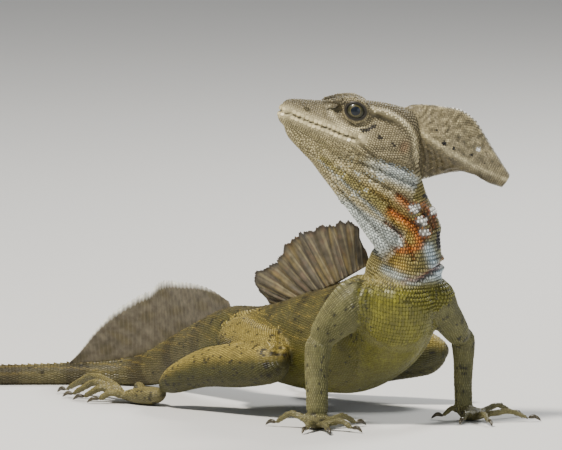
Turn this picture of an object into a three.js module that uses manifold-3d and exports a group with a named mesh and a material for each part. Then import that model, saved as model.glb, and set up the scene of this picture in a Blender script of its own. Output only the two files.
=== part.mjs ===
// A life-size male brown basilisk, propped up on its straight forelegs with its head turned over its right
// shoulder. Millimetres, +Z up. The chest faces -Y, the animal's left side is +X, and the tail lies to the -X
// side. The solids are the flesh, the eyes and the three crests, each in its own mesh.
import * as THREE from "three";
import { mergeVertices } from "three/addons/utils/BufferGeometryUtils.js";
import Module from "manifold-3d";

const wasm = await Module();
wasm.setup();

// Driving sizes of the animal
const GAP = 0.3;
const FLOOR = 0;
const UP = [0, 0, 1];
const ACROSS = [0, 1, 0];

// Colours of the parts, as red, green and blue from 0 to 1
const COLOURS = {
  body: [0.4, 0.38, 0.22],
  belly: [0.42, 0.42, 0.12],
  head: [0.55, 0.51, 0.41],
  crest: [0.4, 0.36, 0.29],
  sail: [0.3, 0.26, 0.17],
  eye: [0.1, 0.1, 0.06],
};

// Solids from three.js geometry

const vector = (point) => new THREE.Vector3(...point);
const smoothLine = (points) => new THREE.CatmullRomCurve3(points.map(vector));
const mix = (from, to, share) => from + (to - from) * share;

function solidOf(geometry) {
  const bare = new THREE.BufferGeometry().setAttribute("position", geometry.getAttribute("position"));
  bare.setIndex(geometry.index);
  const merged = mergeVertices(bare, 1e-4);
  return new wasm.Manifold(
    new wasm.Mesh({
      numProp: 3,
      vertProperties: new Float32Array(merged.attributes.position.array),
      triVerts: new Uint32Array(merged.index.array),
    }),
  );
}

const join = (solids) => solids.reduce((sum, next) => sum.add(next));

// A node keeps its largest closed surface, so that no loose scrap or sealed hollow is left.
function largest(solid) {
  return solid.decompose().reduce((best, next) => (next.volume() > best.volume() ? next : best));
}

// Cuts a solid at a plane and takes half the gap off each side: [the side the normal points to, the other].
function part(solid, point, normal) {
  const n = vector(normal).normalize();
  const offset = vector(point).dot(n);
  const front = solid.trimByPlane(n.toArray(), offset + GAP / 2);
  const back = solid.trimByPlane(n.clone().negate().toArray(), -(offset - GAP / 2));
  return [largest(front), largest(back)];
}

const aboveFloor = (solid) => solid.trimByPlane(UP, FLOOR);

// Where the rings of a sweep stand, in stations: close together at a domed end, evenly along the rest.
function ringPlaces(intervals, rings, domes) {
  const places = [];
  for (let interval = 0; interval < intervals; interval += 1) {
    const first = domes[0] && interval === 0;
    const last = domes[1] && interval === intervals - 1;
    const count = first || last ? rings + 1 : rings;
    for (let i = 0; i < count; i += 1) {
      const share = i / count;
      if (first) places.push(1 - Math.cos(mix(0.12, Math.PI / 2, share)));
      else if (last) places.push(interval + Math.sin((share * Math.PI) / 2));
      else places.push(interval + share);
    }
  }
  places.push(domes[1] ? intervals - 0.007 : intervals);
  return places;
}

// A rounded solid along a smooth path. Each station is [x, y, z, side, up, down]: a point of the path, and how
// far the ring there reaches sideways, towards the back and towards the belly. pinch narrows the ring's top
// and bottom, square above 2 makes it boxier, and grow adds to each reach.
function sweep(stations, options = {}) {
  const { dorsal = UP, sides = 12, rings = 1, square = 2, pinch = [0, 0], grow = 0, domes = [true, true] } = options;
  const line = smoothLine(stations.map(([x, y, z]) => [x, y, z]));
  const reach = smoothLine(stations.map(([, , , side, up = side, down = up]) => [side, up, down]));
  const intervals = stations.length - 1;
  const places = ringPlaces(intervals, rings, domes);
  const steps = places.length - 1;
  const tube = new THREE.CylinderGeometry(1, 1, 1, sides, steps);
  const spots = tube.getAttribute("position");
  const power = 2 / square;
  const back = vector(dorsal);
  for (let i = 0; i < spots.count; i += 1) {
    const place = places[Math.round((spots.getY(i) + 0.5) * steps)];
    const along = Math.min(place / intervals, 1);
    const centre = line.getPoint(along);
    const tangent = line.getTangent(along);
    const lateral = new THREE.Vector3().crossVectors(tangent, back).normalize();
    const up = new THREE.Vector3().crossVectors(lateral, tangent).normalize();
    const size = reach.getPoint(along);
    let dome = 1;
    if (domes[0] && place < 1) dome = Math.sqrt(1 - (1 - place) ** 2);
    if (domes[1] && place > intervals - 1) dome = Math.sqrt(1 - (place - intervals + 1) ** 2);
    const [across, rise] = [spots.getX(i), spots.getZ(i)];
    const narrow = 1 - (rise > 0 ? pinch[0] * rise : -pinch[1] * rise);
    const sideways = Math.sign(across) * Math.abs(across) ** power * (size.x + grow) * narrow * dome;
    const upwards = Math.sign(rise) * Math.abs(rise) ** power * ((rise > 0 ? size.y : size.z) + grow) * dome;
    centre.addScaledVector(lateral, sideways).addScaledVector(up, upwards);
    spots.setXYZ(i, ...centre.toArray());
  }
  return solidOf(tube);
}

// A thin closed sheet over the unit square: at(u, v) is its middle surface and half(u, v) half its thickness.
// Both faces are split into the same triangles, so that they can't cross where the sheet bends.
function sheet(columns, rows, at, half) {
  const plane = new THREE.PlaneGeometry(1, 1, columns, rows);
  const { uv } = plane.attributes;
  const count = uv.count;
  const spots = new Float32Array(count * 6);
  const step = 1e-3;
  for (let i = 0; i < count; i += 1) {
    const [u, v] = [uv.getX(i), uv.getY(i)];
    const alongU = at(Math.min(u + step, 1), v).sub(at(Math.max(u - step, 0), v));
    const alongV = at(u, Math.min(v + step, 1)).sub(at(u, Math.max(v - step, 0)));
    const normal = alongU.cross(alongV).normalize();
    const middle = at(u, v);
    middle.clone().addScaledVector(normal, half(u, v)).toArray(spots, i * 3);
    middle.clone().addScaledVector(normal, -half(u, v)).toArray(spots, (i + count) * 3);
  }
  const faces = [];
  const face = plane.index.array;
  for (let i = 0; i < face.length; i += 3) {
    faces.push(face[i], face[i + 1], face[i + 2]);
    faces.push(face[i] + count, face[i + 2] + count, face[i + 1] + count);
  }
  const corner = (column, row) => row * (columns + 1) + column;
  const rim = [];
  for (let c = 0; c < columns; c += 1) rim.push(corner(c, rows));
  for (let r = rows; r > 0; r -= 1) rim.push(corner(columns, r));
  for (let c = columns; c > 0; c -= 1) rim.push(corner(c, 0));
  for (let r = 0; r < rows; r += 1) rim.push(corner(0, r));
  rim.forEach((a, i) => {
    const b = rim[(i + 1) % rim.length];
    faces.push(b, a, a + count, b, a + count, b + count);
  });
  const closed = new THREE.BufferGeometry();
  closed.setAttribute("position", new THREE.BufferAttribute(spots, 3));
  closed.setIndex(faces);
  return solidOf(closed);
}

function ball(centre, radii, turn = new THREE.Matrix4(), sides = 16) {
  const shape = new THREE.SphereGeometry(1, sides, Math.round(sides * 0.7));
  shape.applyMatrix4(turn.clone().scale(vector(radii)));
  shape.translate(...centre);
  return solidOf(shape);
}

// Trunk and tail: one spine from the front of the chest to the tail's tip

const TRUNK = [
  [1, -3, 49, 9, 8, 11],
  [0.5, 6, 48, 14.5, 13, 17],
  [-1, 18, 45, 18, 17.5, 19.5],
  [-7, 30, 37.8, 20, 20.5, 21.5],
  [-17, 44, 31.3, 21, 20.8, 22.2],
  [-29, 58, 28, 20.5, 19.6, 19.6],
  [-41, 73, 26.6, 17, 15.6, 17],
  [-52, 87, 26, 14, 12.2, 14],
];
const TAIL = [
  [-62, 100, 25, 11.6, 11.8, 12],
  [-75, 122, 18.6, 9.2, 9.8, 10],
  [-86, 141, 12.3, 7.6, 8, 8.4],
  [-95, 152, 7.6, 6.2, 6.4, 7.2],
  [-106, 158, 5.2, 5.3, 5.2, 5.5],
  [-120, 160.5, 4.6, 4.6, 4.5, 4.9],
  [-140, 161, 4.1, 4.1, 4.1, 4.4],
  [-178, 158, 3.7, 3.7, 3.7, 4],
  [-218, 158.5, 3.3, 3.3, 3.3, 3.6],
  [-258, 166, 2.9, 2.9, 2.9, 3.2],
  [-297, 182, 2.5, 2.5, 2.5, 2.8],
  [-333, 205, 2.1, 2.1, 2.1, 2.4],
  [-366, 231, 1.8, 1.8, 1.8, 2.1],
  [-402, 250, 1.4, 1.4, 1.4, 1.7],
  [-442, 256, 1.1, 1.1, 1.1, 1.4],
  [-484, 250, 0.8, 0.8, 0.8, 1.1],
  [-502, 242, 0.6, 0.6, 0.6, 0.9],
];
const SPINE = [...TRUNK, ...TAIL];

const spine = (grow) =>
  sweep(SPINE, { sides: 16, square: 2.1, pinch: [0.18, 0], grow });

// Neck: its back faces +X, because the head is turned; and the beaded throat pouch hangs in front of it

const NECK = [
  [-1, 20, 42, 14, 14, 14],
  [2.5, 16, 57, 14, 15.2, 14.5],
  [4, 14, 67, 11.8, 13.6, 13],
  [3.5, 13, 77, 10.6, 12.8, 12.5],
  [1.5, 12.5, 86, 10.6, 11, 15],
  [-1, 12, 95, 11.2, 11, 20],
  [-5, 12, 104, 11, 12, 20],
  [-8, 12, 111, 8, 10, 14],
];
const THROAT_POUCH = [
  [-26, 10.5, 104.5, 6, 7, 7],
  [-19, 10, 96.5, 7.5, 7.5, 7.5],
  [-12, 8.5, 88.5, 7.5, 7.5, 7.5],
  [-7, 6.5, 79, 6.2, 6.5, 6],
  [-4.5, 4.5, 70.5, 3.6, 4.4, 4],
  [-3.8, 3.6, 66.6, 1.5, 2.2, 2],
];
const BACK_OF_NECK = [1, 0, 0.12];

const neckBlank = (grow) =>
  join([
    sweep(NECK, { dorsal: BACK_OF_NECK, sides: 16, pinch: [0, 0.35], grow }),
    sweep(THROAT_POUCH, { dorsal: BACK_OF_NECK, sides: 12, grow }),
  ]);

// Head, in its own frame: x back from the snout's tip, y to the head's right, z up from the line of the mouth

const SNOUT = [-43.8, 10, 120.7];
const PITCH = THREE.MathUtils.degToRad(20);
const YAW = THREE.MathUtils.degToRad(4);
const headFrame = new THREE.Matrix4()
  .makeTranslation(...SNOUT)
  .multiply(new THREE.Matrix4().makeRotationZ(YAW))
  .multiply(new THREE.Matrix4().makeRotationY(PITCH));
const inHead = (solid) => solid.transform(headFrame.elements);
const headPoint = (x, y, z) => new THREE.Vector3(x, y, z).applyMatrix4(headFrame);

const MOUTH_LEVEL = 0.6;
const MOUTH_CORNER = 35;
const HEAD_LENGTH = 56;
const SKULL = [
  [-1.2, 0, MOUTH_LEVEL, 3.4, 4.8, 4],
  [1.4, 0, MOUTH_LEVEL, 4.7, 5.8, 4.7],
  [5, 0, MOUTH_LEVEL, 5.6, 7, 5.8],
  [10, 0, MOUTH_LEVEL, 6.7, 8.3, 6.8],
  [16, 0, MOUTH_LEVEL, 8.4, 10.4, 8.2],
  [22, 0, MOUTH_LEVEL, 10.2, 12.8, 9.4],
  [29, 0, MOUTH_LEVEL, 11.8, 15, 10.6],
  [38, 0, MOUTH_LEVEL, 13.2, 16.8, 11.6],
  [47, 0, MOUTH_LEVEL, 13.2, 17.4, 11.6],
  [HEAD_LENGTH, 0, MOUTH_LEVEL, 10, 15, 9.6],
];
const CHIN_SKIN = [
  [2.5, 0, -2.8, 2.6, 3, 2.8],
  [8, 0, -5.2, 4.2, 4, 3.8],
  [14, 0, -7.6, 5.4, 5, 4.4],
  [20, 0, -10, 6.2, 6, 5],
  [27, 0, -13.4, 6.8, 8, 6.1],
  [35, 0, -17.6, 7.4, 10, 7],
  [42, 0, -21, 6.4, 9, 7],
];
const EYE = { x: 26.1, y: 6.5, z: 10.6, radius: 4.7, lid: 0.8, open: [4, 3] };
const BROW = [
  [12, 6, 9, 1.3, 1.1, 1.5],
  [17.5, 7.3, 11.6, 2, 1.6, 2],
  [23.5, 8.3, 14.2, 2.4, 1.8, 2.2],
  [28.5, 8.6, 14.4, 2.3, 1.6, 2.2],
  [32.5, 8.8, 12, 1.6, 1.4, 1.6],
];
const TEMPLE_RIDGE = [
  [31, 9.4, 13.2, 1.4, 1.2, 1.4],
  [38, 9.8, 13.4, 1.8, 1.4, 1.6],
  [45, 10, 11.6, 1.7, 1.3, 1.6],
  [51.5, 9.8, 6, 1.5, 1.2, 1.4],
];
const NOSTRIL = { x: 6.8, y: 5.2, z: 6.3, radius: 0.75 };
const EARDRUM = { x: 48, y: 12.9, z: 4, radii: [1.9, 1.5, 2.5] };
const GROOVE = { high: 0.5, deep: 0.75 };

const mirrorSide = (stations) => stations.map(([x, y, ...rest]) => [x, -y, ...rest]);
const bothSides = (stations, options) => [sweep(stations, options), sweep(mirrorSide(stations), options)];

const skull = (grow) => sweep(SKULL, { sides: 20, square: 2.25, pinch: [0.4, 0.2], grow });

function headBlank(grow) {
  const ridges = { sides: 8, grow };
  const lids = [1, -1].map((side) =>
    ball([EYE.x, side * EYE.y, EYE.z], Array(3).fill(EYE.radius + EYE.lid + grow)),
  );
  const solids = [
    skull(grow),
    sweep(CHIN_SKIN, { sides: 12, grow }),
    ...bothSides(BROW, ridges),
    ...bothSides(TEMPLE_RIDGE, ridges),
    ...lids,
  ];
  return inHead(join(solids));
}

// What is cut from the head: the line of the mouth, the eyes' sockets and openings, nostrils and eardrums
function headHollows() {
  const slab = new THREE.BoxGeometry(MOUTH_CORNER + 4, 40, GROOVE.high);
  slab.translate(MOUTH_CORNER / 2 - 2, 0, MOUTH_LEVEL);
  const hollows = [solidOf(slab).subtract(skull(-GROOVE.deep))];
  for (const side of [1, -1]) {
    hollows.push(ball([EYE.x, side * EYE.y, EYE.z], Array(3).fill(EYE.radius + GAP)));
    const opening = [EYE.open[0], EYE.radius + 2, EYE.open[1]];
    hollows.push(ball([EYE.x, side * (EYE.y + 4), EYE.z - 0.2], opening, undefined, 12));
    hollows.push(ball([NOSTRIL.x, side * NOSTRIL.y, NOSTRIL.z], Array(3).fill(NOSTRIL.radius), undefined, 8));
    hollows.push(ball([EARDRUM.x, side * EARDRUM.y, EARDRUM.z], EARDRUM.radii, undefined, 12));
  }
  return inHead(join(hollows));
}

const eyeball = (side) => inHead(ball([EYE.x, side * EYE.y, EYE.z], Array(3).fill(EYE.radius), undefined, 14));

// Head crest: a sheet with a soft fold, between an upper edge and a lower one, in the head's frame

const CREST_TOP = [
  [41, 0, 14],
  [47, 0.5, 19.2],
  [53, 1, 21.8],
  [59, 1.5, 23],
  [65.4, 1.5, 23.8],
  [71.5, 1.2, 21.9],
  [78, 0.5, 16.9],
  [85, -0.2, 11.4],
  [90.8, -0.8, 7],
];
const CREST_FOLD = [
  [43, 0, 10],
  [49, -2, 13],
  [54, -4, 11],
  [59, -5.5, 9.6],
  [64, -6, 8.4],
  [70, -5, 7],
  [76.5, -3, 5.8],
  [84, -1.5, 5.2],
  [90.8, -0.9, 4.8],
];
const CREST_FOOT = [
  [48, 0, -10],
  [54, 0.5, -8.4],
  [60, 1.5, -5.8],
  [65, 2.5, -2.6],
  [69, 2.8, 0],
  [74, 2, 2.6],
  [78.5, 1, 3.2],
  [84, -0.2, 1.6],
  [89.6, -0.8, 1.4],
];
const CREST_HALF_THICKNESS = 0.6;

function headCrest() {
  const [top, fold, foot] = [CREST_TOP, CREST_FOLD, CREST_FOOT].map(smoothLine);
  const at = (across, along) => {
    const [a, m, b] = [top, fold, foot].map((edge) => edge.getPoint(along));
    const bend = m.multiplyScalar(2).addScaledVector(a, -0.5).addScaledVector(b, -0.5);
    const rest = 1 - across;
    return a
      .multiplyScalar(rest * rest)
      .addScaledVector(bend, 2 * across * rest)
      .addScaledVector(b, across * across);
  };
  return inHead(sheet(8, 12, at, () => CREST_HALF_THICKNESS));
}

// Sails: a membrane between its root line and its tip line, with a ridge for each ray and a lobed edge

function sail({ root, tips, rays, rows, membrane, ridge, notch }) {
  const [rootLine, tipLine] = [smoothLine(root), smoothLine(tips)];
  const onRay = (u) => Math.cos(Math.PI * rays * u) ** 2;
  const at = (u, v) => {
    const low = rootLine.getPoint(u);
    const high = tipLine.getPoint(u);
    return low.lerp(high, v * (1 - notch * (1 - onRay(u)) * v));
  };
  const half = (u, v) => mix(membrane, membrane * 0.7, v) + ridge * onRay(u) * (1 - 0.6 * v);
  return sheet(rays * 2, rows, at, half);
}

const DORSAL_SAIL = {
  root: [
    [-11, 25, 60],
    [-17, 35, 55.5],
    [-24, 45, 50.5],
    [-33, 58, 45.5],
    [-45, 75, 39.5],
  ],
  tips: [
    [-11, 26, 66],
    [-14, 28, 72],
    [-17, 31, 76.5],
    [-21, 36, 77.6],
    [-25, 41, 76],
    [-28, 46, 75.5],
    [-33, 52, 72],
    [-38, 58, 70.5],
    [-42, 63, 67],
    [-44, 68, 61],
    [-50, 76, 56],
    [-55, 84, 51],
    [-54, 86, 45],
    [-49.5, 82, 40],
  ],
  rays: 17,
  rows: 4,
  membrane: 0.45,
  ridge: 0.55,
  notch: 0.09,
};
const TAIL_SAIL = {
  root: [
    [-63, 101, 35.5],
    [-75, 122, 27],
    [-86, 141, 19],
    [-95, 152, 13],
    [-106, 158, 9.4],
    [-118, 160, 8.2],
    [-128, 160.5, 7.2],
  ],
  tips: [
    [-64.2, 104, 38.6],
    [-70.8, 114, 42.3],
    [-77.3, 125, 43.5],
    [-83, 135, 43.3],
    [-88, 143, 43.3],
    [-91.9, 148, 41.7],
    [-94.5, 150.5, 38.8],
    [-99.6, 154, 36.1],
    [-107, 158, 31],
    [-113.8, 159, 25.2],
    [-119.6, 160, 17.8],
    [-123.5, 160, 12.4],
    [-127, 160, 8.7],
  ],
  rays: 26,
  rows: 4,
  membrane: 0.45,
  ridge: 0.4,
  notch: 0.05,
};

// Legs: an upper and a lower length, then a palm or sole with five toes

const LEGS = {
  left_front: {
    names: ["upper_arm_left", "forearm_left", "hand_left"],
    dorsal: ACROSS,
    upper: [
      [5, 15, 47, 9, 9],
      [13, 16.5, 48.5, 9.2, 9.2],
      [18.8, 20.5, 42, 6.7, 6.7],
      [23.4, 27, 35, 5.3, 5.3],
      [26, 32.5, 30, 4.6, 4.6],
    ],
    lower: [
      [25.2, 31, 35.5, 4.2, 4.2],
      [26.2, 34, 30.5, 4.8, 4.8],
      [26.4, 34.5, 22, 4.1, 4.1],
      [26.2, 33.5, 13.5, 3.7, 3.7],
      [26.4, 33, 7.5, 3.7, 3.7],
      [26.8, 32.5, 3, 3.6, 3.6],
    ],
    elbow: [26, 33.5, 31],
    wrist: [26.4, 33, 9],
    palm: [
      [26.8, 34, 3.6, 4.2, 2.6, 3.9],
      [29.5, 29.5, 3, 5.8, 2.3, 3.2],
      [33, 24.5, 2, 5.2, 1.7, 2.3],
    ],
    toes: [
      { from: [26.5, 30], to: [18, 32.3], lift: 4.6 },
      { from: [29, 26], to: [26, 16.5], lift: 3.6 },
      { from: [32, 24.5], to: [36, 9.5], lift: 3.8 },
      { from: [35, 26.5], to: [52, 25], lift: 4 },
      { from: [33, 30], to: [46, 41], lift: 5.4 },
    ],
    thick: 1.6,
  },
  right_front: {
    names: ["upper_arm_right", "forearm_right", "hand_right"],
    dorsal: ACROSS,
    upper: [
      [-5, 14, 46, 9, 9],
      [-14, 9.5, 48, 9.6, 9.6],
      [-21, 9, 42.5, 8.2, 8.2],
      [-27, 10, 35.5, 6, 6],
      [-29.6, 10, 30, 4.8, 4.8],
    ],
    lower: [
      [-28.4, 10, 36, 4.8, 4.8],
      [-29.4, 10, 30.5, 5.4, 5.4],
      [-30.2, 7.5, 22, 4.8, 4.8],
      [-30, 4.5, 13.5, 4.5, 4.5],
      [-30, 2.5, 7.5, 4.4, 4.4],
      [-30, 1.5, 3, 4.2, 4.2],
    ],
    elbow: [-29.2, 10, 31.3],
    wrist: [-30, 3, 9],
    palm: [
      [-30, 4, 3.6, 4.6, 2.6, 3.9],
      [-29.5, -1, 3, 6, 2.3, 3.2],
      [-28.5, -7, 2, 5.4, 1.7, 2.3],
    ],
    toes: [
      { from: [-26.5, -1.5], to: [-14.5, 7.5], lift: 4.6 },
      { from: [-26, -6], to: [-16, -14], lift: 4 },
      { from: [-28, -7.5], to: [-25.8, -20], lift: 3.4 },
      { from: [-31, -6], to: [-34.5, -16.5], lift: 3.4 },
      { from: [-33, -2], to: [-46.4, 8], lift: 5.6 },
    ],
    thick: 1.7,
  },
  left_hind: {
    names: ["thigh_left", "shin_left", "foot_left"],
    dorsal: UP,
    upper: [
      [-44, 92, 25, 11, 11],
      [-28, 92, 24, 11, 11],
      [-7, 89, 22, 10, 9.8],
      [10, 86, 21.4, 8.2, 8],
      [21.5, 84.5, 21.2, 6.4, 6],
    ],
    lower: [
      [20, 84, 20, 5.4, 5.4],
      [11.5, 89.5, 18, 7, 7.2],
      [-3, 99.5, 14.8, 7.2, 7.4],
      [-17, 109, 11.4, 6, 6.2],
      [-27, 117, 8.4, 4.8, 5],
      [-33, 122, 6.2, 4, 4.2],
    ],
    elbow: [15, 87, 19.6],
    wrist: [-29.5, 119, 7.8],
    palm: [
      [-33.5, 120, 4.4, 4.4, 3, 4.3],
      [-30, 130, 3.6, 5.4, 2.6, 3.8],
      [-24.5, 141, 2.4, 5.4, 2.1, 2.7],
    ],
    toes: [
      { from: [-22, 137], to: [-12, 143], lift: 4 },
      { from: [-21, 141], to: [-9, 154], lift: 5 },
      { from: [-22, 143.5], to: [-9, 167], lift: 5.6 },
      { from: [-24, 144.5], to: [-16.5, 180.5], lift: 6 },
      { from: [-30.5, 131], to: [-39, 150], lift: 5 },
    ],
    thick: 1.8,
  },
  right_hind: {
    names: ["thigh_right", "shin_right", "foot_right"],
    dorsal: UP,
    upper: [
      [-54, 90, 25.5, 10, 10],
      [-58, 78, 25, 10.6, 10],
      [-54, 62, 24.4, 10, 9.2],
      [-48.5, 47, 24.6, 9, 8.8],
      [-43.5, 35, 24.4, 7.4, 7.4],
    ],
    lower: [
      [-42.5, 32, 24, 6.2, 6.6],
      [-48, 38, 21.6, 8.4, 8.4],
      [-59, 48.5, 19.4, 8.8, 8.8],
      [-72.5, 61, 17.2, 7.6, 7.8],
      [-83, 71, 12.2, 6, 6],
      [-90.5, 78.5, 7.6, 4.6, 4.8],
    ],
    elbow: [-46, 40, 23.2],
    wrist: [-87, 75, 9.8],
    palm: [
      [-89, 77, 5.2, 4.8, 3.6, 5],
      [-96.5, 86, 4.2, 5.6, 3, 4.4],
      [-106, 97.5, 2.8, 5.8, 2.4, 3.1],
    ],
    toes: [
      { from: [-104, 89.5], to: [-115, 90], lift: 4.4 },
      { from: [-106, 92], to: [-121, 98.5], lift: 5.6 },
      { from: [-106, 95.5], to: [-125.5, 109], lift: 7 },
      { from: [-105, 98], to: [-128.5, 125.5], lift: 8.4 },
      { from: [-96.5, 91.5], to: [-101.5, 112], lift: 6 },
    ],
    thick: 1.9,
  },
};
const CLAW = { length: 4.2, root: 0.95, rise: 1.9 };

// A toe leaves the sole, arches over its knuckles and comes down on its pad, and a curved claw ends it.
function toe({ from, to, lift }, thick) {
  const [foot, tip] = [new THREE.Vector2(...from), new THREE.Vector2(...to)];
  const way = tip.clone().sub(foot);
  const reach = way.length();
  const spot = (share, z, r) => {
    const p = foot.clone().addScaledVector(way, share);
    return [p.x, p.y, z, r, r];
  };
  const pad = thick * 0.8;
  const digit = sweep(
    [
      spot(-2.5 / reach, thick + 0.4, thick * 1.1),
      spot(0.22, mix(thick, lift, 0.7), thick),
      spot(0.52, lift, thick * 0.92),
      spot(0.8, mix(pad, lift, 0.45), thick * 0.84),
      spot(1, pad - 0.25, pad),
    ],
    { sides: 7 },
  );
  const beyond = (length) => 1 + length / reach;
  const claw = sweep(
    [
      spot(beyond(-0.8), pad + 0.3, CLAW.root),
      spot(beyond(CLAW.length * 0.4), CLAW.rise + 0.2, CLAW.root * 0.85),
      spot(beyond(CLAW.length * 0.8), CLAW.rise * 0.6, CLAW.root * 0.55),
      spot(beyond(CLAW.length), 0.1, CLAW.root * 0.3),
    ],
    { sides: 5 },
  );
  return digit.add(claw);
}

// The leg's three nodes, cut clear of the body and parted at the elbow or knee and at the wrist or ankle.
function legNodes(leg, body) {
  const limb = { sides: 12, dorsal: leg.dorsal };
  const upper = sweep(leg.upper, limb);
  const lower = sweep(leg.lower, limb);
  const palm = sweep(leg.palm, { sides: 12 });
  const toes = leg.toes.map((t) => toe(t, leg.thick));
  const middle = (a, b) => vector(a).sub(vector(b)).normalize();
  const [hipEnd, elbow, wrist, toeEnd] = [leg.upper[1], leg.elbow, leg.wrist, leg.palm[2]].map((p) => p.slice(0, 3));
  const bend = middle(hipEnd, elbow).add(middle(elbow, wrist)).toArray();
  const ankle = middle(elbow, wrist).add(middle(wrist, toeEnd)).toArray();
  const [top, rest] = [upper, lower].map((solid) => part(solid, elbow, bend));
  const [shank] = part(rest[1], wrist, ankle);
  const [, hand] = part(join([lower, palm, ...toes]), wrist, ankle);
  return [top[0].subtract(body), shank.subtract(body), aboveFloor(hand).subtract(body)].map(largest);
}

// The nodes

const body = join([spine(0), neckBlank(0), headBlank(0)]);
const grownBody = join([spine(GAP), neckBlank(GAP), headBlank(GAP)]);

const HEAD_CUT = { point: [-10, 12, 93], normal: [-0.12, 0, 1] };
const NECK_CUT = { point: [0, 12, 57.5], normal: [0, -0.3, 0.95] };
const TAIL_CUTS = [
  { names: ["torso", "tail_base"], point: [-57, 93.5, 25] },
  { names: ["tail_base", "tail_middle"], point: [-140, 161, 4] },
  { names: ["tail_middle", "tail_whip"], point: [-258, 166, 3] },
  { names: ["tail_whip", "tail_tip"], point: [-366, 231, 2] },
];

function spineDirection(point) {
  const line = smoothLine(TAIL.map(([x, y, z]) => [x, y, z]));
  const near = line
    .getPoints(400)
    .map((p, i) => [p.distanceTo(vector(point)), i])
    .sort((a, b) => a[0] - b[0])[0][1];
  return line.getTangent(near / 400).toArray();
}

const solids = {};
const [headWhole, belowHead] = part(body, HEAD_CUT.point, HEAD_CUT.normal);
solids.head = largest(headWhole.subtract(headHollows()));
const [neck, trunkAndTail] = part(belowHead, NECK_CUT.point, NECK_CUT.normal);
solids.neck = neck;
let rest = trunkAndTail;
for (const { names, point } of TAIL_CUTS) {
  const [beyond, before] = part(rest, point, spineDirection(point));
  solids[names[0]] = largest(aboveFloor(before));
  solids[names[1]] = largest(aboveFloor(beyond));
  rest = beyond;
}
solids.eye_left = eyeball(-1);
solids.eye_right = eyeball(1);
solids.head_crest = largest(headCrest().subtract(grownBody));
solids.dorsal_sail = largest(sail(DORSAL_SAIL).subtract(grownBody));
solids.tail_sail = largest(sail(TAIL_SAIL).subtract(grownBody));
for (const leg of Object.values(LEGS)) {
  legNodes(leg, grownBody).forEach((solid, i) => {
    solids[leg.names[i]] = solid;
  });
}

// Finish and scene graph

function colourOf(name) {
  if (name.startsWith("eye")) return COLOURS.eye;
  if (name === "head_crest") return COLOURS.crest;
  if (name.endsWith("sail")) return COLOURS.sail;
  if (name === "head" || name === "neck") return COLOURS.head;
  return name === "torso" ? COLOURS.belly : COLOURS.body;
}

function meshOf(name, solid) {
  const { numProp, numVert, vertProperties, triVerts } = solid.getMesh();
  const spots = new Float32Array(numVert * 3);
  for (let i = 0; i < numVert; i += 1) spots.set(vertProperties.subarray(i * numProp, i * numProp + 3), i * 3);
  const geometry = new THREE.BufferGeometry();
  geometry.setAttribute("position", new THREE.BufferAttribute(spots, 3));
  geometry.setIndex(new THREE.BufferAttribute(triVerts, 1));
  geometry.computeVertexNormals();
  const wet = name.startsWith("eye");
  const material = new THREE.MeshStandardMaterial({
    color: new THREE.Color(...colourOf(name)),
    roughness: wet ? 0.1 : 0.6,
    metalness: 0,
  });
  const mesh = new THREE.Mesh(geometry, material);
  mesh.name = name;
  return mesh;
}

const basilisk = new THREE.Group();
for (const [name, solid] of Object.entries(solids)) basilisk.add(meshOf(name, solid));

// The origin is under the middle of the whole animal, on the floor.
const box = new THREE.Box3().setFromObject(basilisk, true);
const middle = box.getCenter(new THREE.Vector3());
basilisk.position.set(-middle.x, -middle.y, -box.min.z);

export default basilisk;
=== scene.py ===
# %% [markdown]
# # A brown basilisk at life size
# A male brown basilisk props itself up on its straight forelegs and looks back over its right shoulder. The
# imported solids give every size. This lesson lays one smooth skin over them, sets the scales on it one by one,
# and adds the eyes, claws, crest and the two sails. Sizes are in millimetres until a mesh is made.

# %% The frame
import math

import bmesh
import bpy
import numpy as np
from mathutils import Matrix, Vector
from mathutils.bvhtree import BVHTree
from mathutils.kdtree import KDTree


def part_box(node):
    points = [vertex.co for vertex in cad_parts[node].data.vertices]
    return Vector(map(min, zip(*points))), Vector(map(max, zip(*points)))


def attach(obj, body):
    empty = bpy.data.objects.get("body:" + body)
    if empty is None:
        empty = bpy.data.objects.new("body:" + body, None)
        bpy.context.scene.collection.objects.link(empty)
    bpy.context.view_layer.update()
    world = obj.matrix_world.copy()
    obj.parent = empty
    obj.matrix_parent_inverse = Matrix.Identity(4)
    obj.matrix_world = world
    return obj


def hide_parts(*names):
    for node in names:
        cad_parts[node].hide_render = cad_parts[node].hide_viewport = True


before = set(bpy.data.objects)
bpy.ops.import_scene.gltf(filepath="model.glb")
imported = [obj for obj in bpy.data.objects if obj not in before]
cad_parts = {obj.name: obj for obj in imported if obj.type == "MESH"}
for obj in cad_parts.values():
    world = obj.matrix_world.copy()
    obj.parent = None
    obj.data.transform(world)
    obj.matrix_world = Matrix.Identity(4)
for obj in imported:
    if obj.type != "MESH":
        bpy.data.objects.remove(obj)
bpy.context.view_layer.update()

chance = np.random.default_rng(7)
TURN = 2 * math.pi

# %% [markdown]
# ## Smooth lines
# A body has no straight edges, so each length of it follows a smooth line through a few named stations. A
# centripetal Catmull-Rom line passes through its stations and doesn't loop between them, and the solids use
# the same kind, so the skin falls where they are.

# %% A smooth line through stations
UP = (0, 0, 1)
ACROSS = (0, 1, 0)


def unit(vectors):
    vectors = np.asarray(vectors, float)
    return vectors / np.maximum(np.linalg.norm(vectors, axis=-1, keepdims=True), 1e-12)


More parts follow.
